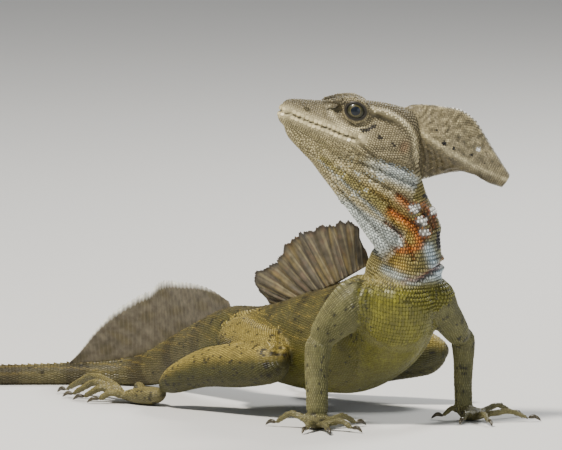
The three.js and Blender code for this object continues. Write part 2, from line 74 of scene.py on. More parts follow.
class Line:
    def __init__(self, points):
        points = np.array(points, float)
        self.count = len(points) - 1
        first = 2 * points[0] - points[1]
        last = 2 * points[-1] - points[-2]
        self.points = np.vstack([first, points, last])
        gaps = np.linalg.norm(np.diff(self.points, axis=0), axis=1) ** 0.5
        self.gaps = np.where(gaps < 1e-4, 1, gaps)

    def at(self, share):
        place = np.clip(np.asarray(share, float), 0, 1) * self.count
        k = np.minimum(place.astype(int), self.count - 1)
        w = (place - k)[..., None]
        a, b, c, d = (self.points[k + i] for i in range(4))
        g, h, i = (self.gaps[k + n][..., None] for n in range(3))
        leave = ((b - a) / g - (c - a) / (g + h) + (c - b) / h) * h
        arrive = ((c - b) / h - (d - b) / (h + i) + (d - c) / i) * h
        square = -3 * b + 3 * c - 2 * leave - arrive
        cube = 2 * b - 2 * c + leave + arrive
        return b + leave * w + square * w**2 + cube * w**3

    def along(self, share):
        share = np.asarray(share, float)
        return unit(self.at(np.minimum(share + 1e-4, 1)) - self.at(np.maximum(share - 1e-4, 0)))


print("a line's middle:", Line([(0, 0, 0), (10, 0, 0), (20, 5, 0)]).at(0.5))

# %% [markdown]
# ## Body lengths
# Flesh is rounded, wider or taller from place to place, and closed by a dome at each end. Each station gives
# the line's point and how far the flesh reaches to the side, to the back and to the belly there, which is all
# that a trunk, a tail, a thigh or a toe needs.

# %% A body length
def full_station(x, y, z, side, back=None, belly=None):
    """A station with only one reach is round: its back and belly reach as far as its side."""
    if back is None:
        return x, y, z, side, side, side
    return x, y, z, side, back, belly


class Length:
    def __init__(self, stations, dorsal=UP, square=2.0, pinch=(0, 0)):
        full = [full_station(*station) for station in stations]
        self.line = Line([station[:3] for station in full])
        self.reach = Line([station[3:] for station in full])
        self.dorsal = dorsal
        self.square = square
        self.pinch = pinch
        self.count = len(stations) - 1

    def frame(self, share):
        ahead = self.line.along(share)
        side = unit(np.cross(ahead, self.dorsal))
        return ahead, side, np.cross(side, ahead)

    def rings(self, many):
        count = self.count
        first = 1 - np.cos(np.linspace(0, math.pi / 2, many + 1)[:-1])
        middle = np.linspace(1, count - 1, (count - 2) * many + 1)[:-1]
        last = count - 1 + np.sin(np.linspace(0, math.pi / 2, many + 1))
        return np.concatenate([first, middle, last])

    def section(self, place, turn, grow=0.0):
        """How far the surface is from the line, as (side, up), at a ring and a turn from the back."""
        size = self.reach.at(place / self.count)
        inside = np.clip(np.minimum(place, self.count - place), 0, 1)
        dome = np.sqrt(1 - (1 - inside) ** 2)
        across, rise = np.sin(turn), np.cos(turn)
        narrow = 1 - np.where(rise > 0, self.pinch[0] * rise, -self.pinch[1] * rise)
        power = 2 / self.square
        sideways = np.sign(across) * np.abs(across) ** power * (size[..., 0] + grow) * narrow * dome
        height = np.where(rise > 0, size[..., 1], size[..., 2]) + grow
        return sideways, np.sign(rise) * np.abs(rise) ** power * height * dome

    def surface(self, place, turn, grow=0.0):
        share = place / self.count
        _, side, up = self.frame(share)
        sideways, upwards = self.section(place, turn, grow)
        return self.line.at(share) + side * sideways[..., None] + up * upwards[..., None]


# %% [markdown]
# ## The stations
# These are the animal's own sizes: trunk and tail on one spine, the neck with the loose skin of the throat,
# the head in a frame of its own, and four legs with five toes each. They repeat the sizes of the solids.

# %% Trunk, tail and neck
TRUNK = [
    (1, -3, 49, 9, 8, 11), (0.5, 6, 48, 14.5, 13, 17), (-1, 18, 45, 18, 17.5, 19.5),
    (-7, 30, 37.8, 20, 20.5, 21.5),
    (-17, 44, 31.3, 21, 20.8, 22.2), (-29, 58, 28, 20.5, 19.6, 19.6), (-41, 73, 26.6, 17, 15.6, 17),
    (-52, 87, 26, 14, 12.2, 14),
]
TAIL = [
    (-62, 100, 25, 11.6, 11.8, 12), (-75, 122, 18.6, 9.2, 9.8, 10), (-86, 141, 12.3, 7.6, 8, 8.4),
    (-95, 152, 7.6, 6.2, 6.4, 7.2), (-106, 158, 5.2, 5.3, 5.2, 5.5), (-120, 160.5, 4.6, 4.6, 4.5, 4.9),
    (-140, 161, 4.1, 4.1, 4.1, 4.4), (-178, 158, 3.7, 3.7, 3.7, 4), (-218, 158.5, 3.3, 3.3, 3.3, 3.6),
    (-258, 166, 2.9, 2.9, 2.9, 3.2), (-297, 182, 2.5, 2.5, 2.5, 2.8), (-333, 205, 2.1, 2.1, 2.1, 2.4),
    (-366, 231, 1.8, 1.8, 1.8, 2.1), (-402, 250, 1.4, 1.4, 1.4, 1.7), (-442, 256, 1.1, 1.1, 1.1, 1.4),
    (-484, 250, 0.8, 0.8, 0.8, 1.1), (-502, 242, 0.6, 0.6, 0.6, 0.9),
]
BACK_OF_NECK = (1, 0, 0.12)
NECK = [
    (-1, 20, 42, 14, 14, 14), (2.5, 16, 57, 14, 15.2, 14.5), (4, 14, 67, 11.8, 13.6, 13),
    (3.5, 13, 77, 10.6, 12.8, 12.5), (1.5, 12.5, 86, 10.6, 11, 15), (-1, 12, 95, 11.2, 11, 20),
    (-5, 12, 104, 11, 12, 20), (-8, 12, 111, 8, 10, 14),
]
THROAT_POUCH = [
    (-26, 10.5, 104.5, 6, 7, 7), (-19, 10, 96.5, 7.5, 7.5, 7.5), (-12, 8.5, 88.5, 7.5, 7.5, 7.5),
    (-7, 6.5, 79, 6.2, 6.5, 6), (-4.5, 4.5, 70.5, 3.6, 4.4, 4), (-3.8, 3.6, 66.6, 1.5, 2.2, 2),
]
lengths = {
    "spine": Length(TRUNK + TAIL, square=2.1, pinch=(0.18, 0)),
    "neck": Length(NECK, BACK_OF_NECK, pinch=(0, 0.35)),
    "pouch": Length(THROAT_POUCH, BACK_OF_NECK),
}
print("body lengths:", list(lengths))

# %% Head, in its own frame: x back from the snout, y to its right, z up from the mouth
SNOUT = np.array([-43.8, 10, 120.7])
PITCH, YAW = math.radians(20), math.radians(4)
HEAD_TURN = np.array(Matrix.Rotation(YAW, 3, "Z") @ Matrix.Rotation(PITCH, 3, "Y"))
MOUTH, MOUTH_CORNER = 0.6, 32
EYE = {"x": 26.1, "y": 6.5, "z": 10.6, "radius": 4.7, "lid": 0.8}


def from_head(points):
    return np.asarray(points, float) @ HEAD_TURN.T + SNOUT


def to_head(points):
    return (np.asarray(points, float) - SNOUT) @ HEAD_TURN


def eye_axes(side):
    """The middle of an eye, its gaze, and the ways ahead and up across it, in the head's frame."""
    middle = np.array([EYE["x"], side * EYE["y"], EYE["z"]])
    gaze = unit(np.array([-0.1, side, 0.02]))
    ahead = unit(np.array([-1, -0.1 * side, 0]))
    return middle, gaze, ahead, np.cross(ahead, gaze) * side


def head_length(stations, **shape):
    turned = [(*from_head(s[:3]), *s[3:]) for s in stations]
    return Length(turned, dorsal=HEAD_TURN @ np.array(UP), **shape)


SKULL = [
    (-1.2, 0, MOUTH, 3.4, 4.8, 4), (1.4, 0, MOUTH, 4.7, 5.8, 4.7), (5, 0, MOUTH, 5.6, 7, 5.8),
    (10, 0, MOUTH, 6.7, 8.3, 6.8), (16, 0, MOUTH, 8.4, 10.4, 8.2), (22, 0, MOUTH, 10.2, 12.8, 9.4),
    (29, 0, MOUTH, 11.8, 15, 10.6), (38, 0, MOUTH, 13.2, 16.8, 11.6), (47, 0, MOUTH, 13.2, 17.4, 11.6),
    (56, 0, MOUTH, 10, 15, 9.6),
]
CHIN_SKIN = [
    (2.5, 0, -2.8, 2.6, 3, 2.8), (8, 0, -5.2, 4.2, 4, 3.8), (14, 0, -7.6, 5.4, 5, 4.4),
    (20, 0, -10, 6.2, 6, 5),
    (27, 0, -13.4, 6.8, 8, 6.1), (35, 0, -17.6, 7.4, 10, 7), (42, 0, -21, 6.4, 9, 7),
]
BROW = [
    (12, 6, 9, 1.3, 1.1, 1.5), (17.5, 7.3, 11.6, 2, 1.6, 2), (23.5, 8.3, 14.2, 2.4, 1.8, 2.2),
    (28.5, 8.6, 14.4, 2.3, 1.6, 2.2), (32.5, 8.8, 12, 1.6, 1.4, 1.6),
]
TEMPLE_RIDGE = [
    (31, 9.4, 13.2, 1.4, 1.2, 1.4), (38, 9.8, 13.4, 1.8, 1.4, 1.6), (45, 10, 11.6, 1.7, 1.3, 1.6),
    (51.5, 9.8, 6, 1.5, 1.2, 1.4),
]
lengths["skull"] = head_length(SKULL, square=2.25, pinch=(0.4, 0.2))
lengths["chin"] = head_length(CHIN_SKIN)
for side in (1, -1):
    for name, ridge in (("brow", BROW), ("temple", TEMPLE_RIDGE)):
        lengths[f"{name}{side}"] = head_length([(x, side * (y - 0.6), *rest) for x, y, *rest in ridge])
print("head from", from_head((0, 0, 0)).round(1), "to", from_head((56, 0, 0)).round(1))

# %% Legs and toes
LEGS = {
    "arm_left": {
        "dorsal": ACROSS, "thick": 1.6,
        "upper": [(5, 15, 47, 9), (13, 16.5, 48.5, 9.2), (18.8, 20.5, 42, 6.7), (23.4, 27, 35, 5.3),
                  (26, 32.5, 30, 4.6)],
        "lower": [(25.2, 31, 35.5, 4.2), (26.2, 34, 30.5, 4.8), (26.4, 34.5, 22, 4.1),
                  (26.2, 33.5, 13.5, 3.7),
                  (26.4, 33, 7.5, 3.7), (26.8, 32.5, 3, 3.6)],
        "palm": [(26.8, 34, 3.6, 4.2, 2.6, 3.9), (29.5, 29.5, 3, 5.8, 2.3, 3.2),
                 (33, 24.5, 2, 5.2, 1.7, 2.3)],
        "toes": [((26.5, 30), (18, 32.3), 4.6), ((29, 26), (26, 16.5), 3.6), ((32, 24.5), (36, 9.5), 3.8),
                 ((35, 26.5), (52, 25), 4), ((33, 30), (46, 41), 5.4)],
    },
    "arm_right": {
        "dorsal": ACROSS, "thick": 1.7,
        "upper": [(-5, 14, 46, 9), (-14, 9.5, 48, 9.6), (-21, 9, 42.5, 8.2), (-27, 10, 35.5, 6),
                  (-29.6, 10, 30, 4.8)],
        "lower": [(-28.4, 10, 36, 4.8), (-29.4, 10, 30.5, 5.4), (-30.2, 7.5, 22, 4.8), (-30, 4.5, 13.5, 4.5),
                  (-30, 2.5, 7.5, 4.4), (-30, 1.5, 3, 4.2)],
        "palm": [(-30, 4, 3.6, 4.6, 2.6, 3.9), (-29.5, -1, 3, 6, 2.3, 3.2), (-28.5, -7, 2, 5.4, 1.7, 2.3)],
        "toes": [((-26.5, -1.5), (-14.5, 7.5), 4.6), ((-26, -6), (-16, -14), 4), ((-28, -7.5),
                 (-25.8, -20), 3.4),
                 ((-31, -6), (-34.5, -16.5), 3.4), ((-33, -2), (-46.4, 8), 5.6)],
    },
    "leg_left": {
        "dorsal": UP, "thick": 1.8,
        "upper": [(-44, 92, 25, 11), (-28, 92, 24, 11), (-7, 89, 22, 10, 10, 9.8),
                  (10, 86, 21.4, 8.2, 8.2, 8),
                  (21.5, 84.5, 21.2, 6.4, 6.4, 6)],
        "lower": [(20, 84, 20, 5.4), (11.5, 89.5, 18, 7, 7, 7.2), (-3, 99.5, 14.8, 7.2, 7.2, 7.4),
                  (-17, 109, 11.4, 6, 6, 6.2), (-27, 117, 8.4, 4.8, 4.8, 5), (-33, 122, 6.2, 4, 4, 4.2)],
        "palm": [(-33.5, 120, 4.4, 4.4, 3, 4.3), (-30, 130, 3.6, 5.4, 2.6, 3.8),
                 (-24.5, 141, 2.4, 5.4, 2.1, 2.7)],
        "toes": [((-22, 137), (-12, 143), 4), ((-21, 141), (-9, 154), 5), ((-22, 143.5), (-9, 167), 5.6),
                 ((-24, 144.5), (-16.5, 180.5), 6), ((-30.5, 131), (-39, 150), 5)],
    },
    "leg_right": {
        "dorsal": UP, "thick": 1.9,
        "upper": [(-54, 90, 25.5, 10), (-58, 78, 25, 10.6, 10.6, 10), (-54, 62, 24.4, 10, 10, 9.2),
                  (-48.5, 47, 24.6, 9, 9, 8.8), (-43.5, 35, 24.4, 7.4)],
        "lower": [(-42.5, 32, 24, 6.2, 6.2, 6.6), (-48, 38, 21.6, 8.4), (-59, 48.5, 19.4, 8.8),
                  (-72.5, 61, 17.2, 7.6, 7.6, 7.8), (-83, 71, 12.2, 6), (-90.5, 78.5, 7.6, 4.6, 4.6, 4.8)],
        "palm": [(-89, 77, 5.2, 4.8, 3.6, 5), (-96.5, 86, 4.2, 5.6, 3, 4.4),
                 (-106, 97.5, 2.8, 5.8, 2.4, 3.1)],
        "toes": [((-104, 89.5), (-115, 90), 4.4), ((-106, 92), (-121, 98.5), 5.6), ((-106, 95.5),
                 (-125.5, 109), 7),
                 ((-105, 98), (-128.5, 125.5), 8.4), ((-96.5, 91.5), (-101.5, 112), 6)],
    },
}
CLAW = {"length": 4.2, "root": 0.95, "rise": 1.9}
claw_lengths = []


def toe_stations(foot, tip, lift, thick):
    foot, tip = np.array(foot, float), np.array(tip, float)
    reach = np.linalg.norm(tip - foot)
    pad = thick * 0.8

    def spot(share, z, r):
        return (*(foot + (tip - foot) * share), z, r)

    digit = [
        spot(-2.5 / reach, thick + 0.4, thick * 1.1), spot(0.22, thick + (lift - thick) * 0.7, thick),
        spot(0.52, lift, thick * 0.92), spot(0.8, pad + (lift - pad) * 0.45, thick * 0.84),
        spot(1, pad - 0.25, pad),
    ]
    beyond = 1 / reach
    claw = [
        spot(1 - 0.8 * beyond, pad + 0.3, CLAW["root"]),
        spot(1 + 0.4 * CLAW["length"] * beyond, CLAW["rise"] + 0.2, CLAW["root"] * 0.85),
        spot(1 + 0.8 * CLAW["length"] * beyond, CLAW["rise"] * 0.6, CLAW["root"] * 0.5),
        spot(1 + CLAW["length"] * beyond, 0.3, CLAW["root"] * 0.16),
    ]
    return digit, claw


for name, leg in LEGS.items():
    lengths[f"{name}_upper"] = Length(leg["upper"], leg["dorsal"])
    lengths[f"{name}_lower"] = Length(leg["lower"], leg["dorsal"])
    lengths[f"{name}_palm"] = Length(leg["palm"])
    for i, (foot, tip, lift) in enumerate(leg["toes"]):
        digit, claw = toe_stations(foot, tip, lift, leg["thick"])
        lengths[f"{name}_toe{i}"] = Length(digit)
        claw_lengths.append(Length(claw))
print("lengths of flesh:", len(lengths), "claws:", len(claw_lengths))

# %% [markdown]
# ## Camera, floor and light
# The photograph was taken almost level, from far away, so the camera stands low with a long lens. Making it
# first lets every later piece be judged in the picture. A pale floor and large soft lamps show form and
# colour plainly.

# %% Making things in the scene
eye_low, eye_high = (np.array(corner) * 1000 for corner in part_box("eye_left"))
SHIFT = (eye_low + eye_high) / 2 - from_head(eye_axes(-1)[0])
SHIFT[2] = 0


def metres(points):
    """From the stations' millimetres to metres in the frame, whose origin is under the animal's middle."""
    return (np.asarray(points, float) + SHIFT) / 1000


def put_in_scene(name, data):
    thing = bpy.data.objects.new(name, data)
    bpy.context.scene.collection.objects.link(thing)
    return thing


def mesh_from(bm, name):
    mesh = bpy.data.meshes.new(name)
    bm.to_mesh(mesh)
    bm.free()
    return mesh


def set_inputs(node, values):
    for name, value in values.items():
        node.inputs[name].default_value = value


print("shift of the animal in the frame:", SHIFT.round(2))

# %% Camera
ELEVATION = math.radians(5.5)
DISTANCE = 6.0
VIEW_WIDTH = 0.2162
SENSOR_WIDTH = 36
aim = metres((-43.8, 40, 74.5))
camera_data = bpy.data.cameras.new("camera")
camera_data.lens = SENSOR_WIDTH * DISTANCE / VIEW_WIDTH
camera_data.clip_end = 60
camera = put_in_scene("camera", camera_data)
camera.location = aim + DISTANCE * np.array([0, -math.cos(ELEVATION), math.sin(ELEVATION)])
camera.rotation_euler = (math.pi / 2 - ELEVATION, 0, 0)
bpy.context.scene.camera = camera
print("lens:", round(camera_data.lens), "mm")


# %% Lamps and floor
def lamp(name, where, size, watts, colour):
    data = bpy.data.lights.new(name, "AREA")
    data.shape = "DISK"
    data.size = size
    data.energy = watts
    data.color = colour
    light = put_in_scene(name, data)
    light.location = aim + np.array(where)
    light.rotation_euler = (-Vector(where)).to_track_quat("-Z", "Y").to_euler()


lamp("key", (-0.6, -0.5, 1.3), 0.24, 40, (1, 0.95, 0.86))
lamp("fill", (1.0, -1.2, 0.4), 1.0, 5, (0.88, 0.94, 1))
lamp("rim", (0.7, 1.0, 0.9), 0.5, 18, (1, 1, 0.97))
world = bpy.data.worlds.new("studio")
world.use_nodes = True
set_inputs(world.node_tree.nodes["Background"], {"Color": (0.9, 0.94, 1, 1), "Strength": 0.27})
bpy.context.scene.world = world

floor_bm = bmesh.new()
bmesh.ops.create_grid(floor_bm, x_segments=1, y_segments=1, size=8)
floor = put_in_scene("floor", mesh_from(floor_bm, "floor"))
floor_paint = bpy.data.materials.new("floor_paint")
floor_paint.use_nodes = True
FLOOR_COLOUR = (0.72, 0.71, 0.69, 1)
set_inputs(floor_paint.node_tree.nodes["Principled BSDF"], {"Base Color": FLOOR_COLOUR, "Roughness": 0.85})
floor.data.materials.append(floor_paint)
print("lamps:", [light.name for light in bpy.data.lights if light.type == "AREA"])

# %% [markdown]
# ## Making a mesh from a bent grid
# A tube, a lid, a claw and a sail are all a flat grid that has been bent until its edges meet. One helper
# makes the grid, moves its points with a rule, merges the points that now touch, fills what stays open and
# turns the faces outwards.

# %% Bent grids
TOUCHING = 2e-5


def bent_grid(columns, rows, rule):
    """Moves each point (u, v) of a flat grid to where the rule puts it, and closes what it can."""
    bm = bmesh.new()
    bmesh.ops.create_grid(bm, x_segments=columns, y_segments=rows, size=0.5)
    flat = np.array([v.co for v in bm.verts]) + 0.5
    for vert, spot in zip(bm.verts, metres(rule(flat[:, 0], flat[:, 1]))):
        vert.co = spot
    bmesh.ops.remove_doubles(bm, verts=bm.verts, dist=TOUCHING)
    open_edges = [edge for edge in bm.edges if edge.is_boundary]
    if open_edges:
        bmesh.ops.holes_fill(bm, edges=open_edges, sides=0)
    bmesh.ops.recalc_face_normals(bm, faces=bm.faces)
    return bm


def tube(length, around, many, grow=0.0):
    rings = length.rings(many)

    def rule(u, v):
        place = rings[np.rint(v * (len(rings) - 1)).astype(int)]
        return length.surface(place, u * TURN, grow)

    return bent_grid(around, len(rings) - 1, rule)


def add_to(whole, bm):
    part = mesh_from(bm, "part")
    whole.from_mesh(part)
    bpy.data.meshes.remove(part)


def new_piece(name, bm):
    mesh = mesh_from(bm, name)
    mesh.shade_smooth()
    return put_in_scene(name, mesh)


print("a bent grid closes at:", TOUCHING * 1000, "mm")


# %% Reading, moving and painting a mesh's points
def read_vectors(rows, name):
    flat = np.empty(len(rows) * 3)
    rows.foreach_get(name, flat)
    return flat.reshape(-1, 3)


def read_points(mesh):
    return read_vectors(mesh.vertices, "co") * 1000 - SHIFT


def write_points(mesh, points):
    mesh.vertices.foreach_set("co", metres(points).ravel())
    mesh.update()


def paint_points(mesh, colours):
    layer = mesh.color_attributes.new(name="Markings", type="FLOAT_COLOR", domain="POINT")
    full = np.ones((len(colours), 4))
    full[:, :3] = np.clip(colours, 0.001, 0.95)
    layer.data.foreach_set("color", full.ravel())


# %% [markdown]
# ## One skin
# The solids are parted by thin cuts, but real skin has no seams. All the body lengths are made again as
# smooth tubes, a little thinner than the solids to leave room for the scales, and a voxel remesh melts them
# into one closed surface. A few rounds of relaxing then take away the creases where the lengths meet.

# %% Melting the lengths together
COAT_DEPTH = 0.3
VOXEL = 0.83
LID_RADIUS = EYE["radius"] + EYE["lid"] - COAT_DEPTH
whole = bmesh.new()
for name, length in lengths.items():
    around, many = (20, 4) if "toe" in name else (48, 8)
    add_to(whole, tube(length, around, many, -COAT_DEPTH))
for side in (1, -1):
    lid_ball = bmesh.new()
    bmesh.ops.create_icosphere(lid_ball, subdivisions=4, radius=LID_RADIUS / 1000)
    bmesh.ops.translate(lid_ball, verts=lid_ball.verts, vec=metres(from_head(eye_axes(side)[0])))
    add_to(whole, lid_ball)
skin = new_piece("skin", whole)
melt = skin.modifiers.new("melt", "REMESH")
melt.mode = "VOXEL"
melt.voxel_size = VOXEL / 1000
melted = bpy.data.meshes.new_from_object(skin.evaluated_get(bpy.context.evaluated_depsgraph_get()))
skin.modifiers.clear()
skin.data = melted
print("skin faces:", len(melted.polygons), "points:", len(melted.vertices))

# %% Relaxing the skin
edges = np.empty(len(melted.edges) * 2, dtype=np.int64)
melted.edges.foreach_get("vertices", edges)
edges = edges.reshape(-1, 2)
neighbours = np.bincount(edges.ravel(), minlength=len(melted.vertices))[:, None]


def average(values):
    """The mean of each point's neighbours."""
    a, b = edges.T
    total = [np.bincount(a, v[b], len(v)) + np.bincount(b, v[a], len(v)) for v in values.T]
    return np.stack(total, 1) / neighbours


def relax(points, rounds, pull, push):
    """Pulls points to their neighbours and pushes most of it back, which smooths without much shrinking."""
    for _ in range(rounds):
        points = points + pull * (average(points) - points)
        points = points + push * (average(points) - points)
    return points


skin_points = relax(read_points(melted), rounds=9, pull=0.6, push=-0.53)
soft_points = relax(skin_points, rounds=22, pull=0.6, push=-0.45)
write_points(melted, skin_points)
print("edges relaxed:", len(edges))

# %% [markdown]
# ## Folds in the skin
# Loose skin hangs in folds at the throat and bunches at the side of the neck where the head turns. The mouth
# is a fine groove, and the eyes lie in openings. Each of these moves the skin's points in or out along their
# normals by a rule of where they are.

# %% Soft steps and strokes
def bell(x):
    return np.exp(-np.asarray(x) ** 2)


def step(x, low, high):
    """Rises smoothly from nothing at the low number to one at the high number."""
    share = np.clip((np.asarray(x, float) - low) / (high - low), 0, 1)
    return share * share * (3 - 2 * share)


def fall(x, low, high):
    """Falls smoothly from one at the low number to nothing at the high number."""
    return step(-np.asarray(x, float), -high, -low)


def to_stroke(points, stroke):
    """How far each point is from a broken line, both given as (x, z)."""
    nearest = np.full(len(points), 1e9)
    for a, b in zip(stroke[:-1], stroke[1:]):
        a, b = np.array(a, float), np.array(b, float)
        share = np.clip(((points - a) @ (b - a)) / ((b - a) @ (b - a)), 0, 1)
        nearest = np.minimum(nearest, np.linalg.norm(points - (a + share[:, None] * (b - a)), axis=1))
    return nearest


def line_mark(points, stroke, wide):
    """One on a broken line, fading away on both sides of it."""
    return bell(to_stroke(points, stroke) / wide)


print("a soft step:", step([0, 1, 2, 3], 0, 3).round(2))

# %% The throat's own directions
CHIN_POINT = np.array([-35.8, 0, 106.5])
DOWN = np.array([0.605, 0, -0.796])
INWARD = np.array([0.796, 0, 0.605])
FAN_START = 8
FOLD_SPACING = 6.5


def throat_place(points):
    """Along the throat from the chin to the pouch's tip, and how far in from its front edge."""
    away = np.asarray(points) - CHIN_POINT
    return away @ DOWN, away @ INWARD


def throat_fan(down, inward):
    """The folds of the throat spread from the chin: each one's angle in degrees, and how far along it is."""
    down = down + FAN_START
    return np.degrees(np.arctan2(inward, np.maximum(down, 1))), np.hypot(inward, down)


def fold_wave(fan):
    """One on top of each fold of the throat, minus one in each crease."""
    return np.sin(fan * TURN / FOLD_SPACING)


def throat_window(down, inward):
    """Where the pale beads of the throat lie, with soft borders."""
    limit = np.interp(down, [0, 36, 39, 52, 54], [30, 29, 24, 9, 0])
    front = np.interp(down, [0, 30, 45, 54], [-8, -6, -3, -0.5])
    return step(limit - inward, -1, 1) * fall(down, 53, 54.5) * step(inward - front, -1, 1)


print("folds over a right angle:", round(90 / FOLD_SPACING))

# %% Where folds, lumps and openings are
NECK_FOLDS = [
    [(-2.7, 84.6), (3, 80.5), (7.3, 78.4), (11, 71)], [(0.5, 90), (6, 85.5), (11, 82), (14.5, 76)],
    [(-4, 79), (1, 75), (5, 70), (7, 64.5)], [(8.5, 57), (15.6, 61.5), (18.6, 63)],
]
NECK_LUMPS = [((7.3, 84.6), 2.3, 1.3), ((9.8, 79.4), 2.4, 1.3), ((11, 75), 2.2, 1.1), ((14.6, 82.5), 2, 1.2)]
HIP_FOLDS = [[(-40, 40), (-44, 33), (-45, 26)], [(-12, 57), (-15, 49), (-14, 42)]]
UNDER_EYE = [(16.6, 8.2), (18, 5.9), (21, 4.2), (24.5, 3.4), (28, 3.5), (31, 5)]
TEMPLE = [(32, 13.2), (37.6, 14), (42.6, 13.4), (47, 11.8), (50.5, 8.7), (53, 4), (56, -1)]
MOUTH_LINE = [(-2, 0.3), (4, 0.9), (10.5, 0.6), (18, 0.7), (25, 0.4), (29, 0.6), (MOUTH_CORNER, 1.2)]
JAW_FOLD = [(MOUTH_CORNER - 3, 0.4), (38, -3.2), (44, -9)]
OPENING_WIDE, OPENING_TALL = 51, 38
SOCKET_DEPTH = 3.9


def ear_mark(x, z):
    """One on the eardrum and nothing outside it."""
    return bell(np.hypot((x - 48) / 2.1, (z - 4) / 2.6) ** 2)


def opening_edge(turn):
    """How far the lids open from the gaze in each direction round it, in degrees."""
    return OPENING_WIDE * OPENING_TALL / np.hypot(OPENING_TALL * np.cos(turn), OPENING_WIDE * np.sin(turn))


def opening_angle(side, points):
    """Each point's angle from the gaze, the lids' own angle that way, and how far from the eye it is."""
    middle, gaze, ahead, up = eye_axes(side)
    away = points - middle
    angle = np.degrees(np.arccos(np.clip(unit(away) @ gaze, -1, 1)))
    return angle, opening_edge(np.arctan2(away @ up, away @ ahead)), np.linalg.norm(away, axis=1)


print("the lids open to", opening_edge(np.array([0, math.pi / 2])).round(), "degrees across and up")

# %% Softening the brow, then raising the folds
place = to_head(skin_points)
brow_away = to_stroke(place[:, [0, 2]], [(station[0], station[2]) for station in BROW + TEMPLE_RIDGE])
on_brow = fall(brow_away, 3, 5) * (np.abs(place[:, 1]) > 3) * (skin_points[:, 2] > 80)
skin_points = skin_points + on_brow[:, None] * (soft_points - skin_points)
write_points(melted, skin_points)
normals = read_vectors(melted.vertex_normals, "vector")

flat = skin_points[:, [0, 2]]
height = np.zeros(len(skin_points))
on_neck = step(skin_points[:, 2], 52, 58) * fall(skin_points[:, 1], 24, 30)
for stroke in NECK_FOLDS:
    away = to_stroke(flat, stroke)
    height += on_neck * (0.9 * bell((away - 1.7) / 1.1) - bell(away / 0.75))
for spot, wide, tall in NECK_LUMPS:
    away = np.hypot(*((flat - spot) * [1, 0.85]).T)
    height += on_neck * tall * fall(skin_points[:, 1], 11, 14) * bell(away / wide) ** 1.5
for stroke in HIP_FOLDS:
    height -= 0.9 * line_mark(flat, stroke, 1.2) * (skin_points[:, 1] < 70)
down, inward = throat_place(skin_points)
on_throat = throat_window(down, inward) * step(inward, -4, -1) * fall(down, 48, 56) * step(down, 10, 26)
height += 0.8 * on_throat * fold_wave(throat_fan(down, inward)[0])
print("neck, hip and throat folds reach", height.min().round(2), "to", height.max().round(2), "mm")

# %% The head's ridges, mouth and eardrums
place = to_head(skin_points)
profile = place[:, [0, 2]]
beside_head = (skin_points[:, 2] > 80) * step(np.abs(place[:, 1]), 2, 5)
for stroke in (UNDER_EYE, TEMPLE):
    away = to_stroke(profile, stroke)
    height += beside_head * (0.32 * bell(away / 0.8) - 0.22 * bell((away - 1.7) / 0.8))
on_head = fall(place[:, 0], 56, 60) * step(place[:, 2], -14, -10)
mouth_away = to_stroke(profile, MOUTH_LINE)
in_mouth = bell(mouth_away / 0.5) * fall(place[:, 0], MOUTH_CORNER - 3, MOUTH_CORNER) * (place[:, 0] > -4)
jaw_away = to_stroke(profile, JAW_FOLD)
height -= 0.7 * in_mouth
height += on_head * (0.5 * bell((jaw_away - 1.2) / 0.8) - 0.5 * bell(jaw_away / 0.6))
height += 0.35 * bell((mouth_away - 1.6) / 0.8) * on_head * fall(place[:, 0], 30, 36)
height -= 0.8 * ear_mark(place[:, 0], place[:, 2]) * (np.abs(place[:, 1]) > 6)
skin_points = skin_points + normals * height[:, None]
print("points in the mouth's groove:", int((in_mouth > 0.5).sum()))

# %% Eye sockets and the rings round them
socket = np.zeros(len(skin_points), bool)
for side in (1, -1):
    middle = eye_axes(side)[0]
    angle, own, depth = opening_angle(side, place)
    inside = (angle < own) & (depth < 6.6)
    socket |= inside
    skin_points[inside] = from_head(middle + unit(place[inside] - middle) * SOCKET_DEPTH)
    ring = 0.22 * np.cos((angle - own - 3) * TURN / 9) * step(angle - own, 1, 4) * fall(angle - own, 22, 30)
    near = depth < 8
    skin_points[near] += (normals * ring[:, None])[near]
skin_points[:, 2] = np.maximum(skin_points[:, 2], 0.05)
write_points(melted, skin_points)
normals = read_vectors(melted.vertex_normals, "vector")
print("points in the eye openings:", int(socket.sum()))

# %% [markdown]
# ## Markings
# Skin and scales must wear the same colours, so one rule paints both: it takes a place on the animal and
# gives a colour. The pale striped throat, the orange folds of the neck, the olive-yellow belly and the gold
# on the thigh are each a soft mask over a base colour.

# %% Tones
def tone(text):
    """A colour as a painter reads it, six hexadecimal digits, in the linear numbers that Blender uses."""
    shown = np.array([int(text[i : i + 2], 16) for i in (0, 2, 4)]) / 255
    return np.where(shown <= 0.04045, shown / 12.92, ((shown + 0.055) / 1.055) ** 2.4)


# The limb tones include a painted lit tone for the tops of arms and legs and a painted shaded tone for the
# legs' undersides.
TONES = {
    "head": "8f8464", "head_top": "6e6650", "cream": "d8cba0", "jaw": "a89c74", "throat": "b9c0ba",
    "throat_stripe": "7a7036", "neck": "857a44", "nape": "6f6a42", "orange": "c26a18", "rust": "7a3a12",
    "yellow": "b59436", "blue": "b9ccd6", "chest": "66631d", "belly": "5a581c", "flank": "645e30",
    "gold": "b09848", "back": "5f5636", "bar": "3a321f", "arm": "66643c", "arm_lit": "948e5e",
    "leg_gold_lit": "a59348", "leg_shaded": "46441c", "tail": "655e3a", "tail_grey": "7d7563", "black": "120e0b",
    "toe": "807850", "white": "e8e8e0",
}
TONES = {name: tone(text) for name, text in TONES.items()}


def solid(count, name):
    return np.tile(TONES[name], (count, 1))


def mix(base, other, share):
    return base + (other - base) * np.clip(share, 0, 1)[..., None]


def blend(base, name, share):
    """Moves a colour towards a named tone by a share, which is one number or one for each point."""
    return mix(base, TONES[name], share)


def painted(colour, *layers):
    """Lays named tones over a colour one after another, each by its own share."""
    for name, share in layers:
        colour = blend(colour, name, share)
    return colour


print("tones:", len(TONES))

